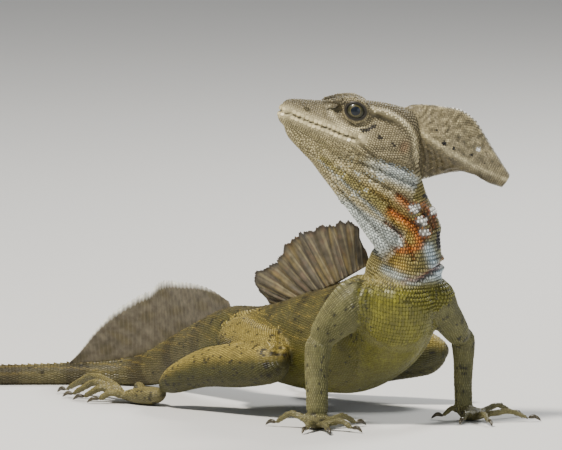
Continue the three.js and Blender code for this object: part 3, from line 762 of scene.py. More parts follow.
# %% Colours of the head
BLACK_MARKS = [
    [(30.6, 4.6), (32.6, 5.6), (35, 8)], [(37.2, 4.9), (38, 4.2)], [(43, 3.9), (44.6, 3.2)], [(36.6, 12.2),
    (39, 12.8)],
]
EYE_STREAK = [(30.5, 11.8), (36.6, 12.2), (41, 11.4)]
NOSTRIL_X, NOSTRIL_Z = 6.8, 6.3


def head_colours(points):
    spots = to_head(points)
    x, z, side = spots[:, 0], spots[:, 2], np.abs(spots[:, 1])
    profile = spots[:, [0, 2]]
    under_eye, temple, lips = (to_stroke(profile, stroke) for stroke in (UNDER_EYE, TEMPLE, MOUTH_LINE))
    below_mouth = fall(z, -6, -2.5) * step(x, 2, 12)
    creases = step(-fold_wave(throat_fan(*throat_place(points))[0]), -0.1, 0.9)
    nose_top = step(z - np.interp(x, [0, 10, 22], [3.6, 6.2, 10]), 0, 1.4) * fall(x, 12, 22)
    colour = painted(
        solid(len(spots), "head"),
        ("head_top", 0.75 * step(z, 9, 13) * fall(side, 5, 9)),
        ("jaw", fall(z, 2, 4.5) * fall(x, 30, 40)),
        ("cream", 0.6 * bell((lips - 1.3) / 1.3) * fall(x, 33, 38)),
        ("cream", bell(under_eye / 1.15) * (side > 2)),
        ("bar", 0.45 * bell((under_eye - 1.7) / 0.6) * (side > 2) * (x < 30)),
        ("cream", 0.95 * bell(temple / 0.95) * (side > 3)),
        ("bar", 0.35 * bell((temple - 1.9) / 0.7) * (side > 3)),
        ("jaw", 0.6 * below_mouth),
        ("throat", fall(z, -8, -4) * step(x, 22, 36)),
        ("throat_stripe", 0.45 * below_mouth * creases),
        ("head_top", 0.8 * nose_top),
        ("bar", 0.55 * bell(np.hypot((x - 19.2) / 2.6, (z - 11.2) / 2.2) ** 2)),
        ("bar", 0.55 * line_mark(profile, EYE_STREAK, 0.8)),
        ("bar", 0.6 * line_mark(profile, JAW_FOLD, 0.7)),
    )
    for eye_side in (1, -1):
        angle, own, depth = opening_angle(eye_side, spots)
        ring = fall(angle - own, 6, 12) * (depth < 7.5)
        colour = blend(colour, "bar", 0.7 * ring * step(under_eye, 0.5, 1.2))
        colour = blend(colour, "cream", 0.15 * bell((angle - own - 15) / 3.5) * (depth < 8))
    for mark in BLACK_MARKS:
        colour = blend(colour, "black", 1.3 * fall(to_stroke(profile, mark), 0.42, 0.72) * (side > 4))
    colour = blend(colour, "rust", 0.35 * ear_mark(x, z) * (side > 6))
    return blend(colour, "black", bell(np.hypot(x - NOSTRIL_X, z - NOSTRIL_Z) / 0.8) * (side > 3))


print("the snout's colour:", head_colours(SNOUT[None]).round(2))

# %% Colours of the throat and neck
# Each stroke has its tone, its strength, its width, whether it is only on the near side, and its line.
NECK_STROKES = [
    ("yellow", 0.6, 2.6, False, [(-2, 81), (4, 77), (7, 72)]),
    ("orange", 0.85, 1.5, True, [(-2, 83), (4, 79.5), (8, 75.5), (9.5, 70), (5, 68.5), (1, 68)]),
    *(("rust", 0.75, 0.6, True, fold) for fold in NECK_FOLDS),
    ("orange", 0.7, 1.3, False, [(1, 88.5), (6, 84.5)]),
    ("rust", 0.8, 1.1, False, [(10.5, 86), (14, 81), (15, 77)]),
    ("yellow", 0.7, 3.2, False, [(-2, 65), (2, 62)]),
    ("blue", 0.9, 2.0, False, [(12.5, 69), (14.5, 63), (17.5, 58)]),
    ("blue", 0.55, 1.8, False, [(-4, 61), (6, 56), (15, 58)]),
]
NECK_SPOTS = [
    ([(16.2, 74), (16.6, 69)], 1.1), ([(11, 88.6), (13.4, 87.8)], 0.9), ([(11, 81.8), (13, 79.6)], 0.7),
]
COLLAR = [(3, 56.5), (9, 57.5), (16, 61.3), (18.5, 64)]


def neck_colours(points):
    flat = points[:, [0, 2]]
    down, inward = throat_place(points)
    throat = throat_window(down, inward)
    fan, far = throat_fan(down, inward)
    pouch = step(far, 26, 38) * step(np.interp(far, [26, 40, 60], [3, 7, 13]) - fan, -1.5, 2)
    behind_jaw = step(fan, 26, 31) * step(far, 28, 40)
    creases = step(-fold_wave(fan), 0.35, 1.0) * step(far, 14, 26)
    near = 0.25 + 0.75 * fall(points[:, 1], 11.5, 15.5)
    facing = fall(points[:, 1], 11, 13.5)
    colour = painted(
        solid(len(points), "neck"),
        ("nape", step(points[:, 0], 10, 15)),
        ("jaw", throat),
        ("throat", throat * np.maximum(pouch, behind_jaw)),
        ("throat_stripe", 0.9 * throat * bell((fan - 15.5) / 4.2) * (1 - pouch)),
        ("bar", 0.5 * throat * creases),
        ("yellow", 0.35 * throat * bell((fan - 19) / 1.6) * step(far, 30, 40)),
        ("blue", 0.35 * throat * bell((fan - 11) / 1.1) * (1 - pouch)),
    )
    for name, strength, wide, one_side, stroke in NECK_STROKES:
        where = near if one_side else 1
        colour = blend(colour, name, strength * where * line_mark(flat, stroke, wide))
    for spot, wide, _ in NECK_LUMPS:
        past_edge = np.hypot(*((flat - spot) * [0.9, 1.2]).T) - wide * 0.95
        colour = blend(colour, "rust", 0.85 * facing * bell(past_edge / 0.5))
        colour = blend(colour, "white", 1.1 * facing * fall(past_edge, -0.5, 0))
    for stroke, wide in NECK_SPOTS:
        colour = blend(colour, "black", 1.3 * near * fall(to_stroke(flat, stroke), wide - 0.5, wide))
    colour = blend(colour, "rust", 0.6 * line_mark(flat, COLLAR, 1.0))
    return blend(colour, "chest", fall(points[:, 2], 52, 57))


print("strokes on the neck:", len(NECK_STROKES))


# %% Colours of the trunk, tail and limbs
def spine_colours(far, turn, column):
    """Trunk and tail, by the distance along the spine, the turn from the back, and the scale's column."""
    tilt = np.abs(np.degrees(np.mod(turn + math.pi, TURN) - math.pi))
    rows = (column % 5 == 0) * step(tilt, 14, 24) * fall(tilt, 95, 115)
    broken = 0.35 + 0.65 * step(np.sin(far * 0.7 + column * 1.7), -0.2, 0.6)
    trunk = painted(
        solid(len(far), "back"),
        ("flank", step(tilt, 12, 45)),
        ("gold", 0.42 * rows * broken),
        ("bar", 0.4 * step(np.sin(far * TURN / 21), 0.35, 0.8) * fall(tilt, 35, 80)),
        ("belly", step(tilt, 85, 118)),
        ("chest", fall(far, 28, 44) * step(tilt, 28, 60)),
    )
    tail = painted(
        solid(len(far), "tail"),
        ("tail_grey", step(far, 190, 420)),
        ("bar", 0.6 * step(np.sin(far * TURN / 27), 0.25, 0.75)),
        ("gold", 0.35 * (column % 4 == 0) * fall(tilt, 60, 100)),
    )
    return mix(trunk, tail, step(far, 122, 150))


def limb_colours(name, normal):
    # Painted light on the limbs: arms paler on the side facing up and towards the key lamp; legs gold where lit
    # above, in painted shade below.
    if name.startswith("arm"):
        above = step(normal[:, 2] - 0.6 * normal[:, 0], 0.1, 0.9)
        colour = blend(solid(len(normal), "arm"), "arm_lit", 0.6 * above)
    else:
        colour = blend(solid(len(normal), "leg_shaded"), "leg_gold_lit", step(normal[:, 2], -0.05, 0.65))
    if "toe" in name or "palm" in name:
        colour = blend(colour, "toe", 0.65)
    return colour


print("a thigh's colour above:", limb_colours("leg", np.array([[0, 0, 1.0]])).round(2))

# %% [markdown]
# ## Laying out the scales
# Lizard scales lie in rings round the body, each ring shifted by half a scale. Rays from each length's middle
# line out to the skin give the places, and the next ring's hit gives the direction in which a scale points.
# Real scales are many, so they are kept as rows of numbers first and become meshes at the end.

# %% Finding the nearest point
def finder(points):
    tree = KDTree(len(points))
    for number, point in enumerate(points):
        tree.insert(point, number)
    tree.balance()
    return tree


def nearest(tree, points):
    """For each point, the number of the nearest one in the tree and how far away it is."""
    found = [tree.find(point) for point in points]
    return np.array([number for _, number, _ in found], int), np.array([away for _, _, away in found])


skin_tree = BVHTree.FromPolygons(skin_points.tolist(), [tuple(face.vertices) for face in melted.polygons])
print("skin ready for rays:", len(skin_points), "points")

# %% Rings of places on the skin
POINT, ALONG, NORMAL = slice(0, 3), slice(3, 6), slice(6, 9)
WIDE, LONG, FAR, AROUND, COLUMN = range(9, 14)
LINE_SAMPLES = 3000


def ring_places(length, pitch, width, span=(0.0, 1e9), slack=1.35, inwards=0.0):
    """Rows of point, direction, normal, width, length, distance along, turn from the back, and column."""
    share = np.linspace(0, 1, LINE_SAMPLES)
    gaps = np.linalg.norm(np.diff(length.line.at(share), axis=0), axis=1)
    distance = np.concatenate([[0], np.cumsum(gaps)])
    far, rings = max(span[0], 0.3), []
    while far < min(span[1], distance[-1] - 0.2):
        rings.append(far)
        far += pitch(far)
    found = []
    for ring, far in enumerate(rings):
        here, there = (np.interp(d, distance, share) for d in (far, far + pitch(far)))
        start, start_next = length.line.at(here), length.line.at(there)
        _, side, up = length.frame(here)
        _, side_next, up_next = length.frame(there)
        size = length.reach.at(here)
        count = max(5, int(round(math.pi * (size[0] + (size[1] + size[2]) / 2) / width(far))))
        for column in range(count):
            turn = (column + 0.5 * (ring % 2)) / count * TURN
            across, rise = math.sin(turn), math.cos(turn)
            reach = math.hypot(*length.section(np.array(here * length.count), np.array(turn)))
            way = side * across + up * rise
            way_next = side_next * across + up_next * rise
            if inwards:
                out = reach + inwards
                spot, normal, _, away = skin_tree.ray_cast(start + way * out, -way, out)
                away = out - (away or 0)
                spot_next = skin_tree.ray_cast(start_next + way_next * out, -way_next, out)[0]
            else:
                spot, normal, _, away = skin_tree.ray_cast(start, way, max(reach * slack + 0.9, 1))
                spot_next = skin_tree.ray_cast(start_next, way_next, reach * slack + 1.5)[0]
            if spot is None or away < reach * 0.4:
                continue
            along = (spot_next - spot) if spot_next else Vector(start_next - start)
            if along.length > 2.2 * pitch(far):
                along = Vector(start_next - start)
            if normal.dot(Vector(way)) < 0:
                normal = -normal
            found.append((*spot, *along, *normal, TURN * away / count, along.length, far, turn, column))
    return np.array(found) if found else np.zeros((0, COLUMN + 1))


def growing(start, rate=0.0):
    """A size that grows along the length."""
    return lambda far: start + rate * far


def tapering(first, last):
    """A size that goes from the first at the tail's root to the last near its tip."""
    return lambda far: np.interp(far, [150, 650], [first, last])


print("a tail scale's length at 400 mm:", tapering(1.35, 1.0)(400).round(2))

# %% Rows of beads on the throat
THROAT_MIDDLE = 10
OUTSIDE = 60
BEAD_BANDS = ((15, 27, 2.6), (27, 41, 1.6), (41, 64, 1.1))


def throat_beads():
    """Beads on both sides of the throat, in rows that spread from the chin and grow towards its end."""
    found = []
    for first, last, turn_step in BEAD_BANDS:
        fans = np.arange(-8, 46, turn_step)
        far, row = first, 0
        while far < last:
            wide = far * math.radians(turn_step)
            for column, fan in enumerate(fans + (row % 2) * turn_step / 2):
                angle = math.radians(fan)
                way = DOWN * math.cos(angle) + INWARD * math.sin(angle)
                down, inward = far * math.cos(angle) - FAN_START, far * math.sin(angle)
                start = CHIN_POINT + DOWN * down + INWARD * inward
                x, _, z = to_head(start + [0, THROAT_MIDDLE, 0])
                if throat_window(down, inward) < 0.5 or z > -3.2 or x < 3:
                    continue
                for side in (-1, 1):
                    beside = (start[0], THROAT_MIDDLE + side * OUTSIDE, start[2])
                    spot, normal, _, _ = skin_tree.ray_cast(beside, (0, -side, 0), OUTSIDE)
                    if spot is None or abs(normal.y) < 0.4:
                        continue
                    if normal.y * side < 0:
                        normal = -normal
                    along = Vector(way) - normal * normal.dot(Vector(way))
                    found.append((*spot, *along, *normal, wide, wide * 1.2, far, column % 6, column))
            far += wide * 1.2
            row += 1
    return np.array(found)


beads = throat_beads()
print("beads on the throat:", len(beads))

# %% Lip plates and rings round the eyes
LIPS = ((1.1, 1.6), (-1.1, 1.5))
EYE_BANDS = (6.5, 12.5, 18.5)


def head_band(spots):
    """What the head's own special scales cover: lips and eye rings."""
    covered = (to_stroke(spots[:, [0, 2]], MOUTH_LINE) < 2.1) & (spots[:, 0] < MOUTH_CORNER + 1)
    for side in (1, -1):
        angle, own, depth = opening_angle(side, spots)
        covered |= (angle < own + 21) & (depth < 7.6)
    return covered


def lip_scales():
    found = []
    for side in (1, -1):
        back = HEAD_TURN @ unit(np.array([1.0, side * 0.25, 0.0]))
        for offset, wide in LIPS:
            for x in np.arange(0.8, MOUTH_CORNER, 1.75):
                level = np.interp(x, *np.array(MOUTH_LINE).T) + offset
                start = from_head((max(x, 3.0), 0, level))
                way = HEAD_TURN @ unit(np.array([min(0, (x - 3.4) * 0.9), side, 0.0]))
                spot, normal, _, _ = skin_tree.ray_cast(start, way, 18)
                if spot is None:
                    continue
                along = Vector(back) - normal * Vector(back).dot(normal)
                found.append((*spot, *along, *normal, wide, 1.7, 0, 0, 0))
    return np.array(found)


def eye_way(side, turn, angle):
    """The direction at an angle from the gaze and a turn round it, in the head's frame."""
    _, gaze, ahead, up = eye_axes(side)
    flat = ahead * np.cos(turn)[:, None] + up * np.sin(turn)[:, None]
    return gaze * np.cos(angle)[:, None] + flat * np.sin(angle)[:, None]


def eye_scales():
    found = []
    for side in (1, -1):
        middle, _, ahead, up = eye_axes(side)
        for band, extra in enumerate(EYE_BANDS):
            count = 30 + 6 * band
            turns = (np.arange(count) + 0.5 * (band % 2)) / count * TURN
            angles = np.radians(opening_edge(turns) + extra)
            for turn, angle, way in zip(turns, angles, eye_way(side, turns, angles)):
                spot, normal, _, _ = skin_tree.ray_cast(from_head(middle), HEAD_TURN @ way, 9)
                if spot is None:
                    continue
                round_eye = HEAD_TURN @ (up * math.cos(turn) - ahead * math.sin(turn))
                long = TURN * 5.4 * math.sin(angle) / count
                found.append((*spot, *round_eye, *normal, 0.72, long, 0, 0, 0))
    return np.array(found)


lip_rows, eye_rows = lip_scales(), eye_scales()
print("lip plates:", len(lip_rows), "beads round the eyes:", len(eye_rows))

# %% All the places together
CLEAR = 0.62
TRUNK_END = 152
CHEST = [
    (0, 20, 66, 14), (0, 20, 58, 16), (-1, 22, 48, 19), (-3, 27, 36, 21), (-6, 33, 22, 21), (-8, 38, 10, 18),
]
LIMB_SCALES = {"toe": (1.1, 0.95), "palm": (0.95, 0.9), "upper": (1.1, 1.0), "lower": (1.1, 1.0)}
coat = {}
placed = []


def add_scales(group, name, rows, height, shape="keeled"):
    """Keeps the places that aren't taken by another length's scales."""
    if placed:
        room = CLEAR * np.minimum(rows[:, WIDE], rows[:, LONG])
        rows = rows[nearest(finder(np.vstack(placed)), rows[:, POINT])[1] > room]
    placed.append(rows[:, POINT])
    coat.setdefault(group, []).append({"name": name, "rows": rows, "height": height, "shape": shape})


add_scales("coat_lips", "lips", lip_rows, 0.09, "plate")
add_scales("coat_head", "eye_rings", eye_rows, 0.3, "bead")
add_scales("coat_neck", "throat", beads, 0.34, "bead")
head_rows = ring_places(lengths["skull"], growing(0.78, 0.004), growing(0.76, 0.005), inwards=5.2)
add_scales("coat_head", "head", head_rows[~head_band(to_head(head_rows[:, POINT]))], 0.17, "granule")
chin_rows = ring_places(lengths["chin"], growing(0.95), growing(0.9), slack=1.8)
add_scales("coat_head", "chin", chin_rows, 0.2, "granule")
add_scales("coat_neck", "pouch", ring_places(lengths["pouch"], growing(1.1), growing(1.0)), 0.32, "granule")
add_scales("coat_neck", "neck", ring_places(lengths["neck"], growing(1.12), growing(1.05)), 0.3, "granule")
chest_rows = ring_places(Length(CHEST, BACK_OF_NECK), growing(1.0), growing(0.92), slack=2.0)
facing = (chest_rows[:, 7] < -0.3) & (chest_rows[:, 2] < 57) & (np.abs(chest_rows[:, 0] + 0.5) < 14)
add_scales("coat_trunk", "chest", chest_rows[facing], 0.1, "plate")
for name, length in lengths.items():
    if name.startswith(("arm", "leg")):
        pitch, width = LIMB_SCALES[name.split("_")[-1].rstrip("01234")]
        add_scales(f"coat_{name[:3]}s", name, ring_places(length, growing(pitch), growing(width)), 0.2)
spine = lengths["spine"]
trunk_rows = ring_places(spine, growing(1.1), growing(1.0), (0, TRUNK_END))
tail_rows = ring_places(spine, tapering(1.35, 1.0), tapering(1.05, 0.7), (TRUNK_END, 1e9))
add_scales("coat_trunk", "spine", trunk_rows, 0.2)
add_scales("coat_tail", "spine", tail_rows, 0.24)
print("scales:", {group: sum(len(part["rows"]) for part in parts) for group, parts in coat.items()})

# %% [markdown]
# ## From places to scales
# A bead is a low rounded stud, and a keeled scale is a small shield with a ridge that ends in a raised point.
# Each is made once, with its underside closed and sunk in the skin, and then copied to every place in one
# array, because thousands of separate objects would be far too slow.

# %% Four shapes of scale
def shape_from(bm):
    bmesh.ops.triangulate(bm, faces=bm.faces)
    bmesh.ops.recalc_face_normals(bm, faces=bm.faces)
    bm.verts.index_update()
    points = np.array([v.co for v in bm.verts])
    corners = np.array([[v.index for v in f.verts] for f in bm.faces])
    bm.free()
    return points, corners


def stud(sides, foot, crown):
    bm = bmesh.new()
    bmesh.ops.create_cone(bm, cap_ends=True, segments=sides, radius1=foot, radius2=crown, depth=1.8)
    bmesh.ops.translate(bm, verts=bm.verts, vec=(0, 0, 0.1))
    return bm


def keeled_shield():
    bm = stud(6, 1.02, 0.85)
    for vert in bm.verts:
        if vert.co.z > 0:
            vert.co.z = 0.72 + 0.33 * vert.co.y
            vert.co.x *= 0.14
    return bm


def round_bead():
    bm = bmesh.new()
    bmesh.ops.create_uvsphere(bm, u_segments=6, v_segments=4, radius=1)
    bmesh.ops.triangulate(bm, faces=bm.faces)
    return bm


SHAPES = {
    "granule": shape_from(stud(5, 1.08, 0.58)), "plate": shape_from(stud(6, 1.1, 0.92)),
    "bead": shape_from(round_bead()), "keeled": shape_from(keeled_shield()),
}
print("triangles in each shape:", {name: len(shape[1]) for name, shape in SHAPES.items()})

# %% [markdown]
# ## The coat
# Each place gets its scale, coloured as a whole by the rule for markings, with painted shade at its foot and a
# painted highlight on its crown, so that every scale reads. Small black flecks fall on groups of scales on the
# limbs and flanks, as on the animal. A map named OFBake lays each scale at its root's place on an unrolled
# skin.

# %% Colours of every scale
FLECKS = {"coat_arms": 0.042, "coat_legs": 0.06, "coat_trunk": 0.018, "coat_neck": 0.003, "coat_tail": 0.015}


def part_colours(part):
    rows, name = part["rows"], part["name"]
    points, level = rows[:, POINT], rows[:, 2]
    if name in ("head", "chin", "lips", "eye_rings"):
        colour = head_colours(points)
        if name == "lips":
            colour = blend(colour, "cream", 0.15)
    elif name in ("neck", "pouch", "throat"):
        colour = neck_colours(points)
        if name == "neck":
            colour = mix(colour, head_colours(points), step(level, 92, 98))
    elif name == "chest":
        outer = np.maximum(step(np.abs(points[:, 0] + 0.5), 5, 13), fall(level, 20, 42))
        colour = blend(solid(len(rows), "chest"), "belly", outer)
        colour = mix(colour, neck_colours(points), step(level, 50, 56))
    elif name == "spine":
        colour = spine_colours(rows[:, FAR], rows[:, AROUND], rows[:, COLUMN])
        colour = mix(colour, neck_colours(points), step(level, 52, 58))
    else:
        colour = limb_colours(name, unit(rows[:, NORMAL]))
    return colour * (1 + chance.normal(0, 0.13, (len(rows), 1)))


for group, parts in coat.items():
    for part in parts:
        part["colour"] = part_colours(part)
        points = part["rows"][:, POINT]
        seeds = np.flatnonzero(chance.random(len(points)) < FLECKS.get(group, 0))
        if "toe" in part["name"] or part["name"] in ("chest", "throat"):
            continue
        for seed in seeds:
            away = np.linalg.norm(points - points[seed], axis=1)
            dark = step(chance.uniform(0.2, 1.05) - away, -0.05, 0.1)
            part["colour"] = blend(part["colour"], "black", 0.96 * dark)
print("painted groups:", list(coat))

# %% Scales as joined meshes
FOOT_SHADE = {"chest": 0.6, "lips": 0.6, "head": 0.45}
MOST_TRIANGLES = 180000
MAP_SCALE = 0.0014
BETWEEN = 0.02


def scale_spots(part, shape):
    """The points of every scale of a part, each scale turned to lie along the skin at its place."""
    rows, count = part["rows"].copy(), len(part["rows"])
    normal = unit(rows[:, NORMAL])
    along = unit(rows[:, ALONG] - normal * np.sum(rows[:, ALONG] * normal, 1, keepdims=True))
    across = np.cross(along, normal)
    tall = part["height"] * chance.uniform(0.8, 1.2, count) * np.clip(rows[:, WIDE], 0.5, 1.6)
    if part["name"] == "spine":
        off_middle = np.abs(np.mod(rows[:, AROUND] + math.pi, TURN) - math.pi) * 8
        tall = np.where(off_middle < rows[:, WIDE], tall * 3, tall)
    rows[:, WIDE] *= chance.uniform(0.9, 1.1, count)
    rows[:, POINT] += across * chance.normal(0, 0.05, (count, 1)) + along * chance.normal(0, 0.05, (count, 1))
    long = np.minimum(rows[:, LONG], rows[:, WIDE] * 1.7)
    local = shape[None] * np.stack([rows[:, WIDE] * 0.5, long * 0.56, tall], 1)[:, None]
    ways = np.stack([across, along, normal], 1)
    return rows, rows[:, None, POINT] + local @ ways


def scale_roots(part, rows, number, count):
    """Where each scale's root lies on the map: parts side by side, and down each part by its distance."""
    if part["name"] in ("lips", "eye_rings"):
        spots = to_head(rows[:, POINT])
        across = 0.5 + 0.45 * np.sign(spots[:, 1]) * np.clip(spots[:, 2] / 40 + 0.5, 0, 1)
        down = np.clip(spots[:, 0] / 60 + 0.1, 0.01, 0.99)
    else:
        across = 0.04 + 0.92 * rows[:, AROUND] / TURN
        down = rows[:, FAR] / max(rows[:, FAR].max(), 1) * 0.96 + BETWEEN
    return np.stack([(number + across) / count, down], 1)


def scale_piece(name, parts):
    points, corners, colours, maps, base = [], [], [], [], 0
    for number, part in enumerate(parts):
        shape, triangles = SHAPES[part["shape"]]
        rows, spots = scale_spots(part, shape)
        firsts = base + np.arange(len(rows)) * len(shape)
        base += len(rows) * len(shape)
        # Each scale is darker at its foot as painted shade and brighter at its crown as a painted highlight.
        low = FOOT_SHADE.get(part["name"], 0.28)
        shade = np.interp(shape[:, 2], [-0.8, 0.2, 1.0], [low, 0.6 * low + 0.63, 1.2 - 0.2 * low])
        roots = scale_roots(part, rows, number, len(parts))
        points.append(spots.reshape(-1, 3))
        corners.append((triangles[None] + firsts[:, None, None]).reshape(-1, 3))
        colours.append((part["colour"][:, None] * shade[None, :, None]).reshape(-1, 3))
        maps.append((roots[:, None] + shape[None, :, :2] * MAP_SCALE).reshape(-1, 2))
    points, corners = np.vstack(points), np.vstack(corners)
    points[:, 2] = np.maximum(points[:, 2], 0.02)
    mesh = bpy.data.meshes.new(name)
    mesh.from_pydata(metres(points).tolist(), [], corners.tolist())
    paint_points(mesh, np.vstack(colours))
    layer = mesh.uv_layers.new(name="OFBake")
    layer.data.foreach_set("uv", np.vstack(maps)[corners.ravel()].ravel())
    if name.startswith(("coat_head", "coat_neck")):
        mesh.shade_smooth()
    return put_in_scene(name, mesh)


def bundles(parts):
    """Cuts a group of scales into runs that each stay under the limit of triangles."""
    made, room = [[]], MOST_TRIANGLES
    for part in parts:
        each, first = len(SHAPES[part["shape"]][1]), 0
        while first < len(part["rows"]):
            last = min(len(part["rows"]), first + room // each)
            made[-1].append({**part, "rows": part["rows"][first:last], "colour": part["colour"][first:last]})
            room -= (last - first) * each
            first = last
            if room < each * 50:
                made.append([])
                room = MOST_TRIANGLES
    return [bundle for bundle in made if bundle]


coat_pieces = []
for name, parts in coat.items():
    for number, bundle in enumerate(bundles(parts)):
        coat_pieces.append(scale_piece(f"{name}_{number + 1}", bundle))
print("coat triangles:", {piece.name: len(piece.data.polygons) for piece in coat_pieces})

# %% Skin between the scales
every_part = [part for parts in coat.values() for part in parts]
root_tree = finder(np.vstack([part["rows"][:, POINT] for part in every_part]))
root_colours = np.vstack([part["colour"] for part in every_part])
# The skin between the scales takes its nearest scales' colour darkened as painted shade in the gaps, less so on
# the smooth underside of the neck and beside the mouth.
smooth_belly = fall(skin_points[:, 2], 53, 57) * step(-normals[:, 2] - normals[:, 1], 0.2, 0.9)
beside_mouth = 0.4 * fall(mouth_away, 2, 3) * on_head * fall(place[:, 0], 32, 36)
light = 0.42 + 0.3 * smooth_belly + beside_mouth
skin_colour = average(root_colours[nearest(root_tree, skin_points)[0]] * light[:, None])
# The mouth's groove and the eye sockets behind the balls are painted black as painted shade.
skin_colour = blend(skin_colour, "black", 0.9 * step(in_mouth, 0.4, 0.95))
skin_colour[socket] = TONES["black"]
paint_points(melted, skin_colour)
melted.shade_smooth()
print("skin painted:", skin_colour.mean(0).round(3))

# %% [markdown]
# ## Eyes
# The eye is small, round and dark, with a greenish brown iris round a blue-black pupil, and it is wet. The
# ball is a sphere with its pole on the gaze and a slight bulge of the cornea. A number on each point says how
# far it is from the pole, so that rings can be painted without an image.

# %% Rules for a ball, a lid's rim and a nostril
BALL_RADIUS = EYE["radius"] - 0.08
RIMS = ((0.5, 4.85), (4.5, 5.05))


def ball_rule(side):
    def rule(u, v):
        angle = v * math.pi
        radius = BALL_RADIUS * (1 + 0.035 * bell(np.degrees(angle) / 26))
        return from_head(eye_axes(side)[0] + eye_way(side, u * TURN, angle) * radius[:, None])

    return rule


def rim_rule(side, extra, depth, thick=0.42):
    """A thin roll of skin that runs round the opening, a little way outside its edge."""

    def rule(u, v):
        turn, small = u * TURN, v * TURN
        angle = np.radians(opening_edge(turn) + extra)
        away = eye_way(side, turn, angle) * (depth + thick * np.cos(small))[:, None]
        out = eye_way(side, turn, angle + math.pi / 2) * (thick * np.sin(small))[:, None]
        return from_head(eye_axes(side)[0] + away + out)

    return rule


def nostril_rule(side, wide=0.75, thick=0.3):
    def rule(u, v):
        turn, small = u * TURN, v * TURN
        ring = wide + thick * np.cos(small)
        x, z = ring * np.cos(turn) * 1.15, ring * np.sin(turn) * 0.85
        y = side * (5 + (x - z) * 0.25 + thick * np.sin(small))
        return from_head(np.stack([NOSTRIL_X + x, y, NOSTRIL_Z + z], 1))

    return rule


print("eyeball radius:", round(BALL_RADIUS, 2), "mm")

# %% Eyeballs, lids and nostrils
eye_pieces, lid_rims = [], bmesh.new()
for side, node in ((-1, "eye_left"), (1, "eye_right")):
    ball = new_piece(f"{node}_ball", bent_grid(48, 40, ball_rule(side)))
    angle, _, _ = opening_angle(side, to_head(read_points(ball.data)))
    layer = ball.data.attributes.new("Polar", "FLOAT", "POINT")
    layer.data.foreach_set("value", angle / 90)
    eye_pieces.append((ball, node))
    for extra, depth in RIMS:
        add_to(lid_rims, bent_grid(64, 10, rim_rule(side, extra, depth)))
for side in (1, -1):
    add_to(lid_rims, bent_grid(24, 8, nostril_rule(side)))
lids = new_piece("eyelid_rims", lid_rims)
lid_points = to_head(read_points(lids.data))
past_edge = [angle - own for angle, own, _ in (opening_angle(side, lid_points) for side in (1, -1))]
dark_edge = 0.9 * fall(np.minimum(*past_edge), 2.3, 3.8)
paint_points(lids.data, blend(solid(len(lid_points), "head_top") * 0.8, "black", dark_edge))
print("eyes:", [piece.name for piece, _ in eye_pieces], "rim faces:", len(lids.data.polygons))

# %% [markdown]
# ## Claws
# Each toe ends in a curved, pointed claw of dark horn that is paler where it is worn. A claw is a short bent
# tube that tapers to its point, so the same tube helper makes all twenty.

# %% Claws
claw_bm = bmesh.new()
for length in claw_lengths:
    add_to(claw_bm, tube(length, 12, 5))
claws = new_piece("claws", claw_bm)
claw_points = read_points(claws.data)
claw_points[:, 2] = np.maximum(claw_points[:, 2], 0.02)
write_points(claws.data, claw_points)
worn = step(chance.random(len(claw_points)), 0.2, 1) * 0.1
paint_points(claws.data, painted(solid(len(claw_points), "black"), ("bar", 0.5), ("cream", worn)))
print("claw triangles:", sum(len(face.vertices) - 2 for face in claws.data.polygons))

# %% [markdown]
# ## The head crest
# A male's crest is a thin, leathery flap that bends along a fold. Three lines in the head's frame, its upper
# edge, its fold and its lower edge, carry a smooth sheet, which goes round from one face to the other so that
# it is closed and has a thin rim.

# %% Crest
CREST_TOP = [
    (41, 0, 14), (47, 0.5, 19.2), (53, 1, 21.8), (59, 1.5, 23), (65.4, 1.5, 23.8), (71.5, 1.2, 21.9),
    (78, 0.5, 16.9),
    (85, -0.2, 11.4), (90.8, -0.8, 7),
]
CREST_FOLD = [
    (43, 0, 10), (49, -2, 13), (54, -4, 11), (59, -5.5, 9.6), (64, -6, 8.4), (70, -5, 7), (76.5, -3, 5.8),
    (84, -1.5, 5.2), (90.8, -0.9, 4.8),
]
CREST_FOOT = [
    (48, 0, -10), (54, 0.5, -8.4), (60, 1.5, -5.8), (65, 2.5, -2.6), (69, 2.8, 0), (74, 2, 2.6),
    (78.5, 1, 3.2),
    (84, -0.2, 1.6), (89.6, -0.8, 1.4),
]
top_line, fold_line, foot_line = Line(CREST_TOP), Line(CREST_FOLD), Line(CREST_FOOT)


def crest_middle(across, along):
    above, fold, below = top_line.at(along), fold_line.at(along), foot_line.at(along)
    bend = 2 * fold - 0.5 * above - 0.5 * below
    t = across[:, None]
    return above * (1 - t) ** 2 + bend * 2 * t * (1 - t) + below * t**2


def thin_edge(across, along):
    """One over the sheet's middle, falling to nothing at all four edges so that its two faces meet."""
    sides = np.clip(1 - np.abs(2 * across - 1) ** 14, 0, 1) ** 0.5
    return sides * np.clip(1 - np.abs(2 * along - 1) ** 40, 0, 1) ** 0.5


def there_and_back(u):
    """How far across the sheet a walk over one face and back under the other has come."""
    return np.where(u < 0.5, 2 * u, 2 - 2 * u)


def slopes(surface, across, along, small):
    """How a surface runs across and along at each place, over a small distance to both sides."""
    over = surface(np.minimum(across + small, 1), along) - surface(np.maximum(across - small, 0), along)
    on = surface(across, np.minimum(along + small, 1)) - surface(across, np.maximum(along - small, 0))
    return over, on


def two_faced(middle, half):
    """A rule that goes up one face of a sheet and down the other."""

    def rule(u, v):
        around = there_and_back(u)
        face = np.where(u < 0.5, 1, -1)
        normal = unit(np.cross(*slopes(middle, around, v, 1e-3)))
        return middle(around, v) + normal * (face * half(around, v))[:, None]

    return rule


def crest_half(across, along):
    grain = 0.14 * np.sin(along * 70 + 6 * np.sin(across * 7)) * np.sin(across * 26 + 3 * np.sin(along * 9))
    return (0.58 + grain) * thin_edge(across, along)


crest_rule = two_faced(crest_middle, crest_half)
crest = new_piece("crest", bent_grid(100, 140, lambda u, v: from_head(crest_rule(u, v))))
print("crest faces:", len(crest.data.polygons))

